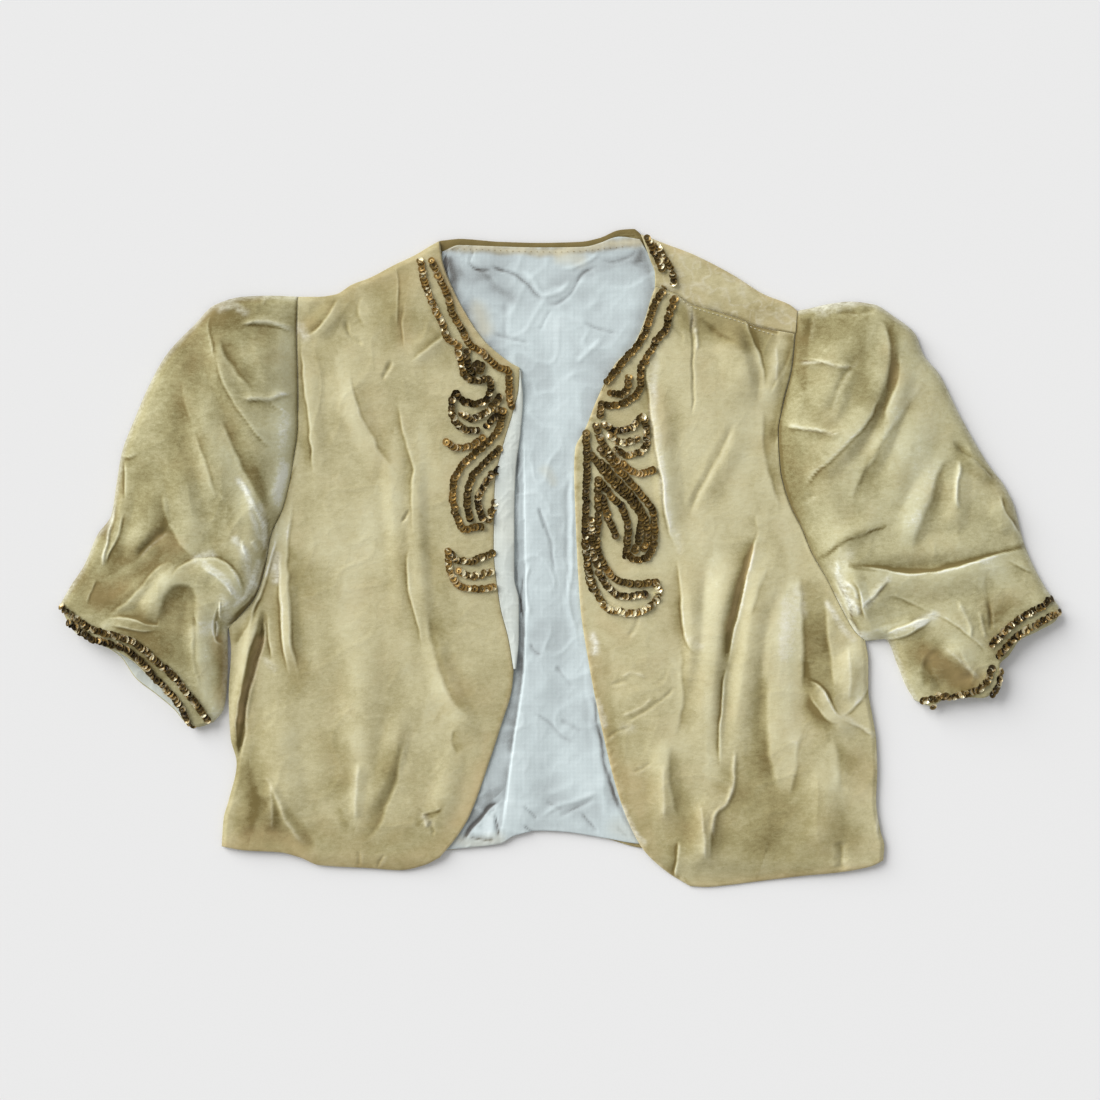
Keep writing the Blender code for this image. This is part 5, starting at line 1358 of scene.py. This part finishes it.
def frontPiece(settings, grid):
    pile = velvetShadingAndStain
    grid = drawnIn(grid, velvetRelief["drawnIn"])
    x = grid[..., 0]
    y = grid[..., 1]
    top, light = frontTop(x, y, settings)
    spacing = pile["frontWidth"] / grid.shape[1]
    nap, crush, stain = pileReadings(settings, top, light, x, y, spacing)
    # painted shade along the seams, a painted highlight on the open edges with painted shade just inside
    # them, painted light and shade of gathers, and real stains along the open edges
    nap -= pile["seamShade"] * fading(edgeDistance(x, y, *seamEdges), 1.5) * stepUp((y + 10) / 50)
    fromOpen = edgeDistance(x, y, *openEdges)
    rimLight = pile["edgeLight"] * (1 + cloud(x, y, 14, 66))
    nap += rimLight * fading(fromOpen, 1.8) - pile["edgeShade"] * fading(fromOpen, 9)
    for order, (edge, size, strength) in enumerate(gatheredEdges):
        nap += strength * puckers(edge, x, y, size, 9, 600 + 5 * order)
    stain = np.clip(stain + pile["edgeStain"] * fading(fromOpen, 5), 0, 1)
    readings = {"nap": nap, "crush": crush, "stain": stain}
    return sheetPiece(settings, grid, top, readings, velvet)


openEdges = (necklineLeft, sewnEdgeLeft, lowerEdgeLeft, frontEdgeRight, hemFrontLeft, hemFrontRight)
seamEdges = (armholeLeft, armholeRight, shoulderSeamRight)
gatheredEdges = (  # each with the size and the strength of the painted light and shade of its gathers
    (frontEdgeRight, 3.2, 0.34),
    (lowerEdgeLeft, 4.0, 0.16),
    (sewnEdgeLeft, 3.0, 0.12),
    (necklineLeft, 3.0, 0.2),
    (hemFrontLeft, 6.0, 0.14),
    (hemFrontRight, 7.0, 0.12),
)

# Left front

frontLeft = {
    "name": "velvetFrontLeft",
    "node": "front_left",
    "columns": 226,
    "rows": (128, 262),
    "armholeShare": 0.53,
    "neckShare": 0.22,
    "stripShare": 0.47,
    "falling": (shoulderLeft, sideLeft),
    "rolls": frontLeftRolls,
    "creases": (frontLeftCreases, frontLeftFolds),
    "marks": frontLeftMarks,
    "base": -0.03,
    "rim": velvetRelief["rim"],
}


def makeFrontLeft():
    columns = even(fineCount(frontLeft["columns"]))
    total = sum(fineCount(rows) for rows in frontLeft["rows"])
    armhole = int(total * frontLeft["armholeShare"])
    neck = int(total * frontLeft["neckShare"])
    strip = int(total * frontLeft["stripShare"])
    leftEdge = joined(atShares(armholeLeft, even(armhole)), atShares(sideLeft, even(total - armhole)))
    rightEdge = joined(
        atShares(necklineLeft, even(neck)),
        atShares(sewnEdgeLeft, even(strip)),
        atShares(lowerEdgeLeft, even(total - neck - strip)),
    )
    grid = patch(atShares(shoulderLeft, columns), atShares(hemFrontLeft, columns), leftEdge, rightEdge)
    return frontPiece(frontLeft, grid)


velvetFrontLeft = makeFrontLeft()

# Right front and the strip of the back that turns over its shoulder

frontRight = {
    "name": "velvetFrontRight",
    "node": "front_right",
    "columns": 216,
    "rows": (176, 216),
    "falling": (sideRight,),
    "rolls": frontRightRolls,
    "creases": (frontRightCreases, frontRightFolds),
    "marks": frontRightMarks,
    "base": -0.02,
    "rim": velvetRelief["rim"],
}
shoulderShare = 0.066  # how much of the armhole lies above the shoulder seam


def shoulderSeamPoints(columns):
    end = atShares(armholeRight, (shoulderShare,))[0]
    return atShares(shoulderSeamRight[:-1] + (tuple(end),), columns)


def makeFrontRight():
    columns = even(fineCount(frontRight["columns"]))
    upper, lower = [fineCount(rows) for rows in frontRight["rows"]]
    armhole = shoulderShare + (1 - shoulderShare) * even(upper)
    grid = patch(
        shoulderSeamPoints(columns),
        atShares(hemFrontRight, columns),
        atShares(frontEdgeRight, even(upper + lower)),
        joined(atShares(armholeRight, armhole), atShares(sideRight, even(lower))),
    )
    return frontPiece(frontRight, grid)


velvetFrontRight = makeFrontRight()

shoulderStrip = {
    "name": "velvetShoulder",
    "node": "back_shoulder_right",
    "columns": 150,
    "rows": 34,
    "foldTop": 3.4,
    "rise": 1.8,
    "seamDip": 1.0,
    "tone": -0.14,
    "rim": velvetRelief["rim"],
}


def makeShoulderStrip():
    columns = even(fineCount(shoulderStrip["columns"]))
    rows = even(fineCount(shoulderStrip["rows"]))
    grid = patch(
        atShares(shoulderTopRight, columns),
        shoulderSeamPoints(columns),
        atShares(neckEndRight, rows),
        atShares(armholeRight, shoulderShare * rows),
    )
    grid = drawnIn(grid, 0.4)
    x = grid[..., 0]
    y = grid[..., 1]
    fromFold = np.broadcast_to(rows[:, None], x.shape)
    top = shoulderStrip["foldTop"] + shoulderStrip["rise"] * rounded(fromFold * 3)
    top = top + 0.35 * cloud(x, y, 12, 61) - shoulderStrip["seamDip"] * (1 - stepUp((1 - fromFold) * 14))
    # painted highlight on crests and painted shade in hollows, with random tone
    nap = shadingFromRelief(top, np.zeros(x.shape), 1.0) + shoulderStrip["tone"]
    nap = nap + 0.12 * cloud(x, y, 20, 63) + 0.08 * crumple(x, y, 9, 64)
    stain = np.full(x.shape, 0.15) + 0.35 * stepUp((0.2 - fromFold) * 5)
    readings = {"nap": nap, "crush": 0.25 * crumple(x, y, 6, 62), "stain": stain}
    return sheetPiece(shoulderStrip, grid, top, readings, velvet)


velvetShoulder = makeShoulderStrip()

# Sleeves: flattened puffed tubes

sleeve = {
    "coarseShares": (0, 0.03, 0.07, 0.12, 0.18, 0.24, 0.31, 0.38, 0.45, 0.52, 0.59, 0.66, 0.73, 0.8, 0.9, 1),
    "rows": 215,
    "columns": 200,
    "columnsUnder": 40,
    "spacing": 0.9,
    "edgeHeight": 2.6,
    "roundAbove": 8.0,
    "roundBelow": 3.0,
    "bulgeWidth": 70.0,
    "turnedIn": ((0.35, 0.3), (0.45, 0.8), (0.2, 1.3), (-1.0, 1.6), (-7.0, 1.6)),
    "crumple": 1.2,
    "deepest": -4.0,
    "armholeDip": 0.7,
    "cuffDip": 0.8,
    "seamShade": 0.25,
    "rollShare": 0.7,
    "topShade": -0.06,
    "shadeFrom": 90.0,
    "edgeSilver": 0.35,
    "napBelow": 0.45,
}
sleeveLeft = {
    "name": "velvetSleeveLeft",
    "node": "sleeve_left",
    "marks": sleeveLeftMarks,
    "base": -0.13,
    "seamLight": 0.12,
    "crown": crownLeft,
    "rolls": sleeveLeftRolls,
    "creases": (sleeveLeftCreases, sleeveLeftFolds),
    "armholeShares": (0, 0.022, 0.088, 0.17, 0.25, 0.33, 0.41, 0.49, 0.57, 0.65, 0.73, 0.81, 0.88, 0.95, 1),
    "armhole": armholeLeft[:-1] + sleeveLeftInner[:1],
    "outer": sleeveLeftOuter,
    "inner": sleeveLeftInner,
    "cuff": cuffLeft,
    "cuffUnder": cuffLeftUnder,
}
sleeveRight = {
    "name": "velvetSleeveRight",
    "node": "sleeve_right",
    "marks": sleeveRightMarks,
    "base": -0.04,
    "seamLight": 0.0,
    "crown": crownRight,
    "rolls": sleeveRightRolls,
    "creases": (sleeveRightCreases, sleeveRightFolds),
    "armholeShares": joined(np.array([0, shoulderShare]), shoulderShare + (1 - shoulderShare) * even(13)),
    "armhole": armholeRight,
    "outer": sleeveRightOuter,
    "inner": sleeveRightInner,
    "cuff": cuffRight,
    "cuffUnder": cuffRight,
}


def relaxed(grid):  # spreads inner lines so that none cross at a corner that turns inwards
    grid = grid.copy()
    for _ in range(300):
        down = (grid[2:, 1:-1] - grid[:-2, 1:-1]) / 2
        across = (grid[1:-1, 2:] - grid[1:-1, :-2]) / 2
        downSquare = (down**2).sum(axis=2, keepdims=True)
        shear = (down * across).sum(axis=2, keepdims=True)
        acrossSquare = (across**2).sum(axis=2, keepdims=True)
        twist = (grid[2:, 2:] - grid[2:, :-2] - grid[:-2, 2:] + grid[:-2, :-2]) / 4
        beside = grid[1:-1, 2:] + grid[1:-1, :-2]
        above = grid[2:, 1:-1] + grid[:-2, 1:-1]
        wanted = downSquare * beside + acrossSquare * above - 2 * shear * twist
        wanted = wanted / (2 * (downSquare + acrossSquare))
        grid[1:-1, 1:-1] += 0.8 * (wanted - grid[1:-1, 1:-1])
    return grid


def sleeveGrid(edges, cuff, rows, columns):
    armholeShares = edges["armholeShares"]
    coarseRows = np.array(sleeve["coarseShares"], dtype=float)
    coarseColumns = even(len(armholeShares) - 1)
    coarse = relaxed(
        patch(
            atShares(edges["armhole"], armholeShares),
            atShares(edges[cuff], coarseColumns),
            atShares(edges["outer"], coarseRows),
            atShares(edges["inner"], coarseRows),
        )
    )
    fine = cubicAlong(coarseRows, coarse, rows)
    fine = cubicAlong(coarseColumns, fine.transpose(1, 0, 2), columns).transpose(1, 0, 2)
    fineShares = np.interp(columns, coarseColumns, armholeShares)
    return fine + patchOver(
        atShares(edges["armhole"], fineShares) - fine[0],
        atShares(edges[cuff], columns) - fine[-1],
        atShares(edges["outer"], rows) - fine[:, 0],
        atShares(edges["inner"], rows) - fine[:, -1],
        rows,
        columns,
    )


def sleeveTop(x, y, edges):
    fromArmhole = edgeDistance(x, y, edges["armhole"])
    fromCuff = edgeDistance(x, y, edges["cuff"])
    fromSide = edgeDistance(x, y, edges["outer"], edges["inner"])
    shares, heights = np.array(edges["crown"]).T
    height = monotone(shares, heights, np.clip(fromArmhole / (fromArmhole + fromCuff + 1e-6), 0, 1))
    flat = velvetRelief["frontTop"]
    level = flat + (height - flat) * rounded(fromSide / sleeve["bulgeWidth"])
    hold = stepUp(fromArmhole / 9) * stepUp(fromSide / 7) * (0.35 + 0.65 * stepUp(fromCuff / 16))
    rise, light = creaseAndFold(edges["creases"], x, y)
    fineHold = stepUp(fromArmhole / 3) * stepUp(fromSide / 4) * (0.3 + 0.7 * stepUp(fromCuff / 12))
    level = level + sleeve["rollShare"] * rollHeights(edges["rolls"], x, y) * hold
    level = level + np.maximum(rise + sleeve["crumple"] * clothRipple(x, y), sleeve["deepest"]) * fineHold
    seamDip = sleeve["armholeDip"] * fading(fromArmhole, 1.8) + sleeve["cuffDip"] * fading(fromCuff, 2)
    edge = sleeve["edgeHeight"]
    return edge + (level - seamDip - edge) * rounded(fromSide / sleeve["roundAbove"]), light


def makeSleeve(settings):
    rows = even(fineCount(sleeve["rows"]))
    columns = even(fineCount(sleeve["columns"]))
    closer = 0.5 - 0.5 * np.cos(np.pi * columns)
    columns = 0.75 * columns + 0.25 * closer
    under = even(fineCount(sleeve["columnsUnder"]))
    upper = drawnIn(sleeveGrid(settings, "cuff", rows, columns), 0.5, ("top", "bottom"))
    lower = drawnIn(sleeveGrid(settings, "cuffUnder", rows, under), 0.5, ("top", "bottom"))
    x = upper[..., 0]
    y = upper[..., 1]
    top, light = sleeveTop(x, y, settings)
    nap, crush, stain = pileReadings(settings, top, light, x, y, sleeve["spacing"])
    fromArmhole = edgeDistance(x, y, settings["armhole"])
    # painted shade along the armhole seam, lighter near the armhole on the left sleeve, darker towards the
    # top, and painted sheen along the folded sides
    nap -= sleeve["seamShade"] * fading(fromArmhole, 1.4) * stepUp((y + 10) / 50)
    nap += settings["seamLight"] * fading(fromArmhole, 30)
    nap += sleeve["topShade"] * stepUp((y - sleeve["shadeFrom"]) / 60)
    crush += sleeve["edgeSilver"] * fading(edgeDistance(x, y, settings["outer"], settings["inner"]), 5)
    fromSide = edgeDistance(lower[..., 0], lower[..., 1], settings["outer"], settings["inner"])
    bottom = sleeve["edgeHeight"] * (1 - rounded(fromSide / sleeve["roundBelow"])) + 0.05
    backAcross = np.dstack([lower, bottom])[:, -2::-1]
    points = np.concatenate([np.dstack([upper, top]), backAcross], axis=1)
    values = []
    for above, below in ((nap, sleeve["napBelow"]), (crush, 0.0), (stain, 0.0)):
        value = np.concatenate([above, np.full(backAcross.shape[:2], below)], axis=1)
        value[:, -1] = value[:, 0]
        values.append(value)
    points, values = withTurnedEnds(points, values, len(columns))
    readings = dict(zip(("nap", "crush", "stain"), values))
    return gridPiece(settings, points, readings, sleeveVelvet, closed=True)


def withTurnedEnds(points, values, upperCount):  # the wall turned inside at the armhole and the cuff
    count = points.shape[1]
    inwards = np.ones(count)
    inwards[:upperCount] = -1
    inwards[upperCount - 1] = 0
    inwards[0] = 0
    inwards[-1] = 0
    steps = sleeve["turnedIn"]
    starts = []
    ends = []
    for outwards, deep in steps:
        for edge, inner, rows in ((0, 4, starts), (-1, -5, ends)):
            way = points[edge, :, :2] - points[inner, :, :2]
            way = way / np.maximum(np.linalg.norm(way, axis=1, keepdims=True), 1e-6)
            row = points[edge].copy()
            row[:, :2] += way * outwards
            row[:, 2] += inwards * deep
            rows.append(row)
    points = np.concatenate([starts[::-1], points, ends])
    values = [np.pad(value, ((len(steps), len(steps)), (0, 0)), mode="edge") for value in values]
    return points, values


velvetSleeveLeft = makeSleeve(sleeveLeft)
velvetSleeveRight = makeSleeve(sleeveRight)

# Back: velvet below, its lining between the fronts

back = {
    "name": "velvetBack",
    "node": "back",
    "columns": 120,
    "rows": 120,
    "top": 1.5,
    "neckRise": 1.6,
    "nap": 0.16,
    "neckShade": 0.34,
    "shadeAboveLining": 0.5,
    "neckStain": 0.12,
    "hemStain": 0.4,
    "rim": ((0.3, 0.3), (0.4, 0.7), (0.2, 1.1), (-5.0, 1.2)),
}


def makeBack():
    wholeTop = joined(smoothLine(shoulderLeft), smoothLine(neckBack), smoothLine(shoulderTopRight))
    columns = even(back["columns"])
    half = back["rows"] // 2
    grid = patch(
        lineAt(wholeTop, columns),
        atShares(hemBack, columns),
        joined(atShares(armholeLeft, even(half)), atShares(sideLeft, even(half))),
        joined(atShares(armholeRight, even(half)), atShares(sideRight, even(half))),
    )
    grid = drawnIn(grid, 0.5)
    x = grid[..., 0]
    y = grid[..., 1]
    fromNeck = edgeDistance(x, y, neckBack)
    fromLining = edgeDistance(x, y, liningTop)
    top = back["top"] + back["neckRise"] * fading(fromNeck, 6)
    top = top + 0.5 * cloud(x, y, 5, 83) * fading(fromNeck, 8)
    nap = back["nap"] + 0.12 * cloud(x, y, 9, 81) + 0.16 * cloud(x, y, 3.5, 82)
    # darker towards the neck edge, and a painted shadow just above the lining's top edge
    nap -= back["neckShade"] * fading(fromNeck, 9) + back["shadeAboveLining"] * fading(fromLining, 1.8)
    stain = back["neckStain"] * fading(fromNeck, 12)
    stain = stain + back["hemStain"] * fading(edgeDistance(x, y, hemBack), 10)
    readings = {"nap": nap, "crush": nap * 0, "stain": stain}
    return sheetPiece(back, grid, top, readings, velvet)


velvetBack = makeBack()

backLining = {
    "name": "liningBack",
    "node": "back_lining",
    "columns": 118,
    "rows": 310,
    "underside": 1.9,
    "wall": 1.0,
    "tuckRise": 1.6,
    "neckRise": 1.6,
    "cornerRise": 2.4,
    "hemDrop": 3.4,
    "nap": 0.55,
    "shadeLeftOfTuck": 0.24,
    "gathers": 0.3,
    "creaseShare": 0.6,
    "rim": ((0.3, 0.2), (0.3, 0.6), (-0.5, 0.9), (-4.0, 0.9)),
}


def makeBackLining():
    rows = even(fineCount(backLining["rows"]))
    columns = even(fineCount(backLining["columns"]))
    grid = patch(
        atShares(liningTop, columns),
        atShares(liningHem, columns),
        atShares(liningLeft, rows),
        atShares(liningRight, rows),
    )
    grid = drawnIn(grid, 0.4)
    down = rows[:, None]
    neckRise = backLining["neckRise"] + backLining["cornerRise"] * stepUp((grid[..., 0] - 20) / 22)
    grid[..., 1] += neckRise * fading(down, 0.04)
    grid[..., 1] -= backLining["hemDrop"] * stepUp((down - 0.93) / 0.07)
    x = grid[..., 0]
    y = grid[..., 1]
    gap, along, side = distanceTo(smoothLine(tuckEdge, 60), x, y)
    rise = stepUp((gap + 0.6) / 1.4) * stepUp((34 - gap) / 22)
    rise = rise * stepUp(along / 0.2) * stepUp((1 - along) / 0.08)
    tuck = backLining["tuckRise"] * np.where(side > 0, rise, 0)
    creased, light = creaseRelief(liningCreases, x, y)
    ripple = 0.7 * cloud(x, y, 30, 91) + 0.4 * crumple(x, y, 18, 92) + 0.16 * crumple(x, y, 7, 95)
    ripple += 0.16 * cloud(x, y, 9, 98)
    top = backLining["underside"] + backLining["wall"] + tuck + backLining["creaseShare"] * creased + ripple
    top = np.maximum(top, backLining["underside"])
    # painted highlight on crests, painted light and shade along the creases and from the marks, painted shade
    # left of the tuck, and painted light and shade of the gathers along the top
    crest = top - blurred(top, 4)
    nap = backLining["nap"] + 0.3 * crest + 0.35 * light + 0.08 * cloud(x, y, 34, 99)
    nap += marked(liningMarks, "nap", x, y)
    behind = np.where(side < 0, stepUp(gap / 1.2), 0) * stepUp((-20 - y) / 40)
    nap -= backLining["shadeLeftOfTuck"] * (behind * (0.85 + 0.2 * cloud(x, y, 12, 97)))
    nap += backLining["gathers"] * puckers(liningTop, x, y, 2.6, 9, 640)
    readings = {"nap": nap, "stain": np.clip(marked(liningMarks, "stain", x, y), 0, 1)}
    return sheetPiece(backLining, grid, top, readings, lining)


liningBack = makeBackLining()

# Lining turned out beside the left front's edge, and below the left cuff

turnedStrip = {
    "name": "liningTurned",
    "node": "front_lining_left",
    "columns": 16,
    "rows": 230,
    "top": 5.2,
    "swell": 0.6,
    "nap": 0.7,
    "rim": ((0.25, 0.3), (0.3, 0.9), (0.0, 1.6), (-1.5, 1.9)),
}


def makeTurnedStrip():
    rows = even(fineCount(turnedStrip["rows"]))[2:-2]
    sewn = atShares(sewnEdgeLeft, rows)
    turned = atShares(turnedEdgeLeft, rows)
    grid = drawnIn(between(sewn, turned, turnedStrip["columns"]), 0.25, ("left", "right"))
    x = grid[..., 0]
    y = grid[..., 1]
    across = even(turnedStrip["columns"])[None]
    top = turnedStrip["top"] + turnedStrip["swell"] * np.sin(np.pi * across) + 0.35 * cloud(x, y, 10, 101)
    top = top + 0.25 * crumple(x, y, 7, 102)
    # painted highlight on crests and painted shade towards both long edges of the strip
    nap = turnedStrip["nap"] + 0.5 * (top - blurred(top, 3)) - 0.2 * (1 - np.sin(np.pi * across))
    readings = {"nap": nap, "stain": np.full(x.shape, 0.2)}
    return sheetPiece(turnedStrip, grid, top, readings, agedLining)


liningTurned = makeTurnedStrip()

cuffLining = {
    "name": "liningCuff",
    "node": "sleeve_lining_left",
    "from": 0.32,
    "to": 0.82,
    "way": (0.58, 0.815),
    "depth": 19.0,
    "inset": 1.2,
    "top": 2.7,
    "nap": 0.6,
    "rim": ((0.2, 0.2), (0.2, 0.6), (-1.0, 0.8)),
}


def makeCuffLining():
    shares = cuffLining["from"] + (cuffLining["to"] - cuffLining["from"]) * even(90)
    edge = atShares(cuffLeftUnder, shares)
    inward = np.array(cuffLining["way"])
    upper = edge + cuffLining["depth"] * inward
    lower = edge + cuffLining["inset"] * inward
    grid = between(upper, lower, 22).transpose(1, 0, 2)
    x = grid[..., 0]
    y = grid[..., 1]
    top = cuffLining["top"] + 0.2 * cloud(x, y, 8, 111) + 0.25 * crumple(x, y, 8, 112)
    # painted highlight on crests
    nap = cuffLining["nap"] + 0.5 * (top - blurred(top, 2))
    readings = {"nap": nap, "stain": np.full(x.shape, 0.25)}
    return sheetPiece(cuffLining, grid, top, readings, agedLining)


liningCuff = makeCuffLining()

# Cup sequins, sewn overlapping along listed rows

sequin = {
    "rings": ((0.45, 0.25), (0.55, 0.1), (1.55, 0.0), (2.3, 0.45), (2.95, 1.05)),  # radius, depth of the cup
    # painted shade at each cup's hole and painted highlight towards its rim, ring by ring
    "ringShading": (-0.3, -0.25, -0.05, 0.05, 0.1),
    "sides": 11,
    "spacing": 2.9,
    "offLine": 0.28,
    "sizeSpread": 0.04,
    "tilt": 0.32,
    "wobble": 0.17,
    "lift": 0.75,
    "toneSpread": 0.085,
    "glint": 0.55,
    "glintFrom": 0.32,
}


def seatAt(surfaces, spot, way):  # place in millimetres, facing, and the ways ahead and across on the cloth
    found = onSurface(surfaces, spot[0] * mm, spot[1] * mm)
    if found is None:
        return None
    facing = np.array(found[1])
    ahead = np.array([way[0], way[1], 0.0])
    ahead -= facing * (ahead @ facing)
    ahead /= np.linalg.norm(ahead)
    return np.array(found[0]) / mm, facing, ahead, np.cross(facing, ahead)


def ringFaces(start, rings, sides):
    faces = []
    for low in range(start, start + (rings - 1) * sides, sides):
        for index in range(sides):
            after = (index + 1) % sides
            faces.append((low + index, low + after, low + sides + after, low + sides + index))
    return faces


def sequinRows(name, rows, surfaces, seed):
    chance = np.random.default_rng(seed)
    places = []
    tones = []
    faces = []
    sides = sequin["sides"]
    rings = sequin["rings"]
    turn = np.linspace(0, 2 * np.pi, sides, endpoint=False)
    cup = np.array([(reach * np.cos(a), reach * np.sin(a), deep) for reach, deep in rings for a in turn])
    for tone, glints, *points in rows:
        line = smoothLine(points, 400)
        spots = lineAt(line, even(max(2, round(runAlong(line)[-1] / sequin["spacing"]))))
        for spot, way in zip(spots, np.gradient(spots, axis=0)):
            seat = seatAt(surfaces, spot + chance.normal(0, sequin["offLine"], 2), way)
            if seat is None:
                continue
            place, facing, ahead, aside = seat
            lean = sequin["tilt"] + chance.normal(0, sequin["wobble"])
            roll = chance.normal(0, sequin["wobble"])
            up = facing * np.cos(lean) - ahead * np.sin(lean) + aside * np.sin(roll)
            up /= np.linalg.norm(up)
            front = ahead - up * (ahead @ up)
            front /= np.linalg.norm(front)
            across = np.cross(up, front)
            size = 1 + chance.normal(0, sequin["sizeSpread"])
            middle = place + facing * sequin["lift"]
            faces += ringFaces(len(places) * len(cup), len(rings), sides)
            places.append(middle + size * (cup[:, :1] * front + cup[:, 1:2] * across + cup[:, 2:] * up))
            shade = tone + chance.normal(0, sequin["toneSpread"])
            # painted glint highlights: some cups get pale arcs round their rings
            bright = glints * (0.4 + 1.2 * chance.random()) * 0.55
            bright = bright * (1 + np.sin(turn + chance.uniform(0, 6.3)))
            glow = np.tile(np.where(bright > sequin["glintFrom"], sequin["glint"], 0.0), len(rings))
            tones.append(shade + glow + np.repeat(sequin["ringShading"], sides))
    mesh = bpy.data.meshes.new(name)
    mesh.from_pydata(np.concatenate(places) * mm, [], faces)
    layer = mesh.attributes.new("tone", "FLOAT", "POINT")
    layer.data.foreach_set("value", np.concatenate(tones).astype(np.float32))
    print(name, "made of", len(places))
    return shown(name, mesh, sequinFinish)


frontLeftSurface = surfaceOf(velvetFrontLeft)
frontRightSurface = surfaceOf(velvetFrontRight)
shoulderSurface = surfaceOf(velvetShoulder)
sleeveLeftSurface = surfaceOf(velvetSleeveLeft)
sleeveRightSurface = surfaceOf(velvetSleeveRight)
sequinsLeft = sequinRows("sequinsFrontLeft", neckLeftRows + scrollLeftRows, [frontLeftSurface], 401)
rightSurfaces = [frontRightSurface, shoulderSurface]
sequinsRight = sequinRows("sequinsFrontRight", neckRightRows + scrollRightRows, rightSurfaces, 402)
sequinsCuffLeft = sequinRows("sequinsCuffLeft", cuffLeftRows, [sleeveLeftSurface], 403)
sequinsCuffRight = sequinRows("sequinsCuffRight", cuffRightRows, [sleeveRightSurface], 404)

# Hand stitches: short bits of thread, each a bent spindle. Its shares are places along it, girths and lifts.

stitch = {
    "sides": 5,
    "shares": ((0, 0.25, 0), (0.2, 0.9, 0.7), (0.5, 1, 1), (0.8, 0.9, 0.7), (1, 0.25, 0)),
    "unevenness": 0.12,
    "lift": 0.1,
}
shoulderStitch = {"name": "stitchesShoulder", "long": 2.1, "pitch": 3.4, "thick": 0.3, "seed": 501}
shoulderStitchLine = (
    (74.5, 203.5), (88.9, 197.6), (100.3, 190.2), (118.6, 184.6), (137.4, 178.6), (149.6, 173.2), (163, 169),
)
neckStitch = {"name": "stitchesNeck", "long": 1.0, "pitch": 4.6, "thick": 0.2, "seed": 502}
neckStitchLine = ((-84, 234.8), (-60, 234.2), (-30, 232.8), (0, 232.2), (25, 233.9), (50, 236.4))


def stitchRow(settings, table, surfaces, thread):
    chance = np.random.default_rng(settings["seed"])
    thick = settings["thick"]
    line = smoothLine(table, 400)
    total = max(1, round(runAlong(line)[-1] / settings["pitch"]))
    spots = lineAt(line, (np.arange(total) + 0.5) / total)
    turn = np.linspace(0, 2 * np.pi, stitch["sides"], endpoint=False)
    places = []
    faces = []
    for spot, way in zip(spots, np.gradient(spots, axis=0)):
        way = way / np.linalg.norm(way)
        bend = chance.normal(0, stitch["unevenness"])
        way = (way[0] * np.cos(bend) - way[1] * np.sin(bend), way[0] * np.sin(bend) + way[1] * np.cos(bend))
        seat = seatAt(surfaces, spot, way)
        if seat is None:
            continue
        place, facing, ahead, across = seat
        middle = place + facing * stitch["lift"]
        reach = settings["long"] * (1 + chance.normal(0, stitch["unevenness"]))
        faces += ringFaces(len(places), len(stitch["shares"]), stitch["sides"])
        for share, girth, lift in stitch["shares"]:
            centre = middle + ahead * reach * (share - 0.5) + facing * thick * 0.9 * lift
            for angle in turn:
                outwards = across * np.cos(angle) + facing * 0.8 * np.sin(angle)
                places.append(centre + thick * girth * outwards)
    mesh = bpy.data.meshes.new(settings["name"])
    mesh.from_pydata(np.array(places) * mm, [], faces)
    mesh.shade_smooth()
    return shown(settings["name"], mesh, thread)


shoulderStitches = stitchRow(shoulderStitch, shoulderStitchLine, [frontRightSurface], paleThread)
stitchRow(neckStitch, neckStitchLine, [surfaceOf(liningBack)], tanThread)
print("stitches made")
# Pale floor, soft light from the upper left, and the camera straight above

stage = {
    "floor": screen(233, 233, 233),
    "sky": 0.47,
    "sunFrom": (-1.5, 1.15, 1.0),
    "sunWidth": 50.0,
    "sunPower": 3.78,
    "eye": (-0.0072, 0.0061, 1.974),
    "lens": 85.0,
}


def pointedAt(thing, place, target):
    thing.location = place
    thing.rotation_mode = "QUATERNION"
    thing.rotation_quaternion = (Vector(target) - Vector(place)).to_track_quat("-Z", "Y")
    bpy.context.scene.collection.objects.link(thing)


def makeFloor():
    cloth = bmesh.new()
    bmesh.ops.create_grid(cloth, x_segments=1, y_segments=1, size=6.0)
    mesh = bpy.data.meshes.new("floor")
    cloth.to_mesh(mesh)
    cloth.free()
    book = NodeBook("paleFloor")
    grain = book.noise(900.0, 2.0)
    shade = tuple(part * 0.96 for part in stage["floor"])
    colour = book.blend(grain, shade, stage["floor"])
    mesh.materials.append(book.finish({"Base Color": colour, "Roughness": 0.9}))
    floor = bpy.data.objects.new("floor", mesh)
    bpy.context.scene.collection.objects.link(floor)


def makeLight():
    lamp = bpy.data.lights.new("window", "SUN")
    lamp.angle = radians(stage["sunWidth"])
    lamp.energy = stage["sunPower"]
    pointedAt(bpy.data.objects.new("window", lamp), stage["sunFrom"], (0, 0, 0))
    world = bpy.data.worlds.new("paleRoom")
    world.use_nodes = True
    world.node_tree.nodes["Background"].inputs["Color"].default_value = (1.0, 1.0, 1.0, 1.0)
    world.node_tree.nodes["Background"].inputs["Strength"].default_value = stage["sky"]
    bpy.context.scene.world = world


def makeCamera():
    lens = bpy.data.cameras.new("camera")
    lens.lens = stage["lens"]
    lens.sensor_width = 36.0
    camera = bpy.data.objects.new("camera", lens)
    camera.location = stage["eye"]
    bpy.context.scene.collection.objects.link(camera)
    bpy.context.scene.camera = camera


makeFloor()
makeLight()
makeCamera()
bpy.context.scene.view_settings.view_transform = "Standard"
print("stage made")
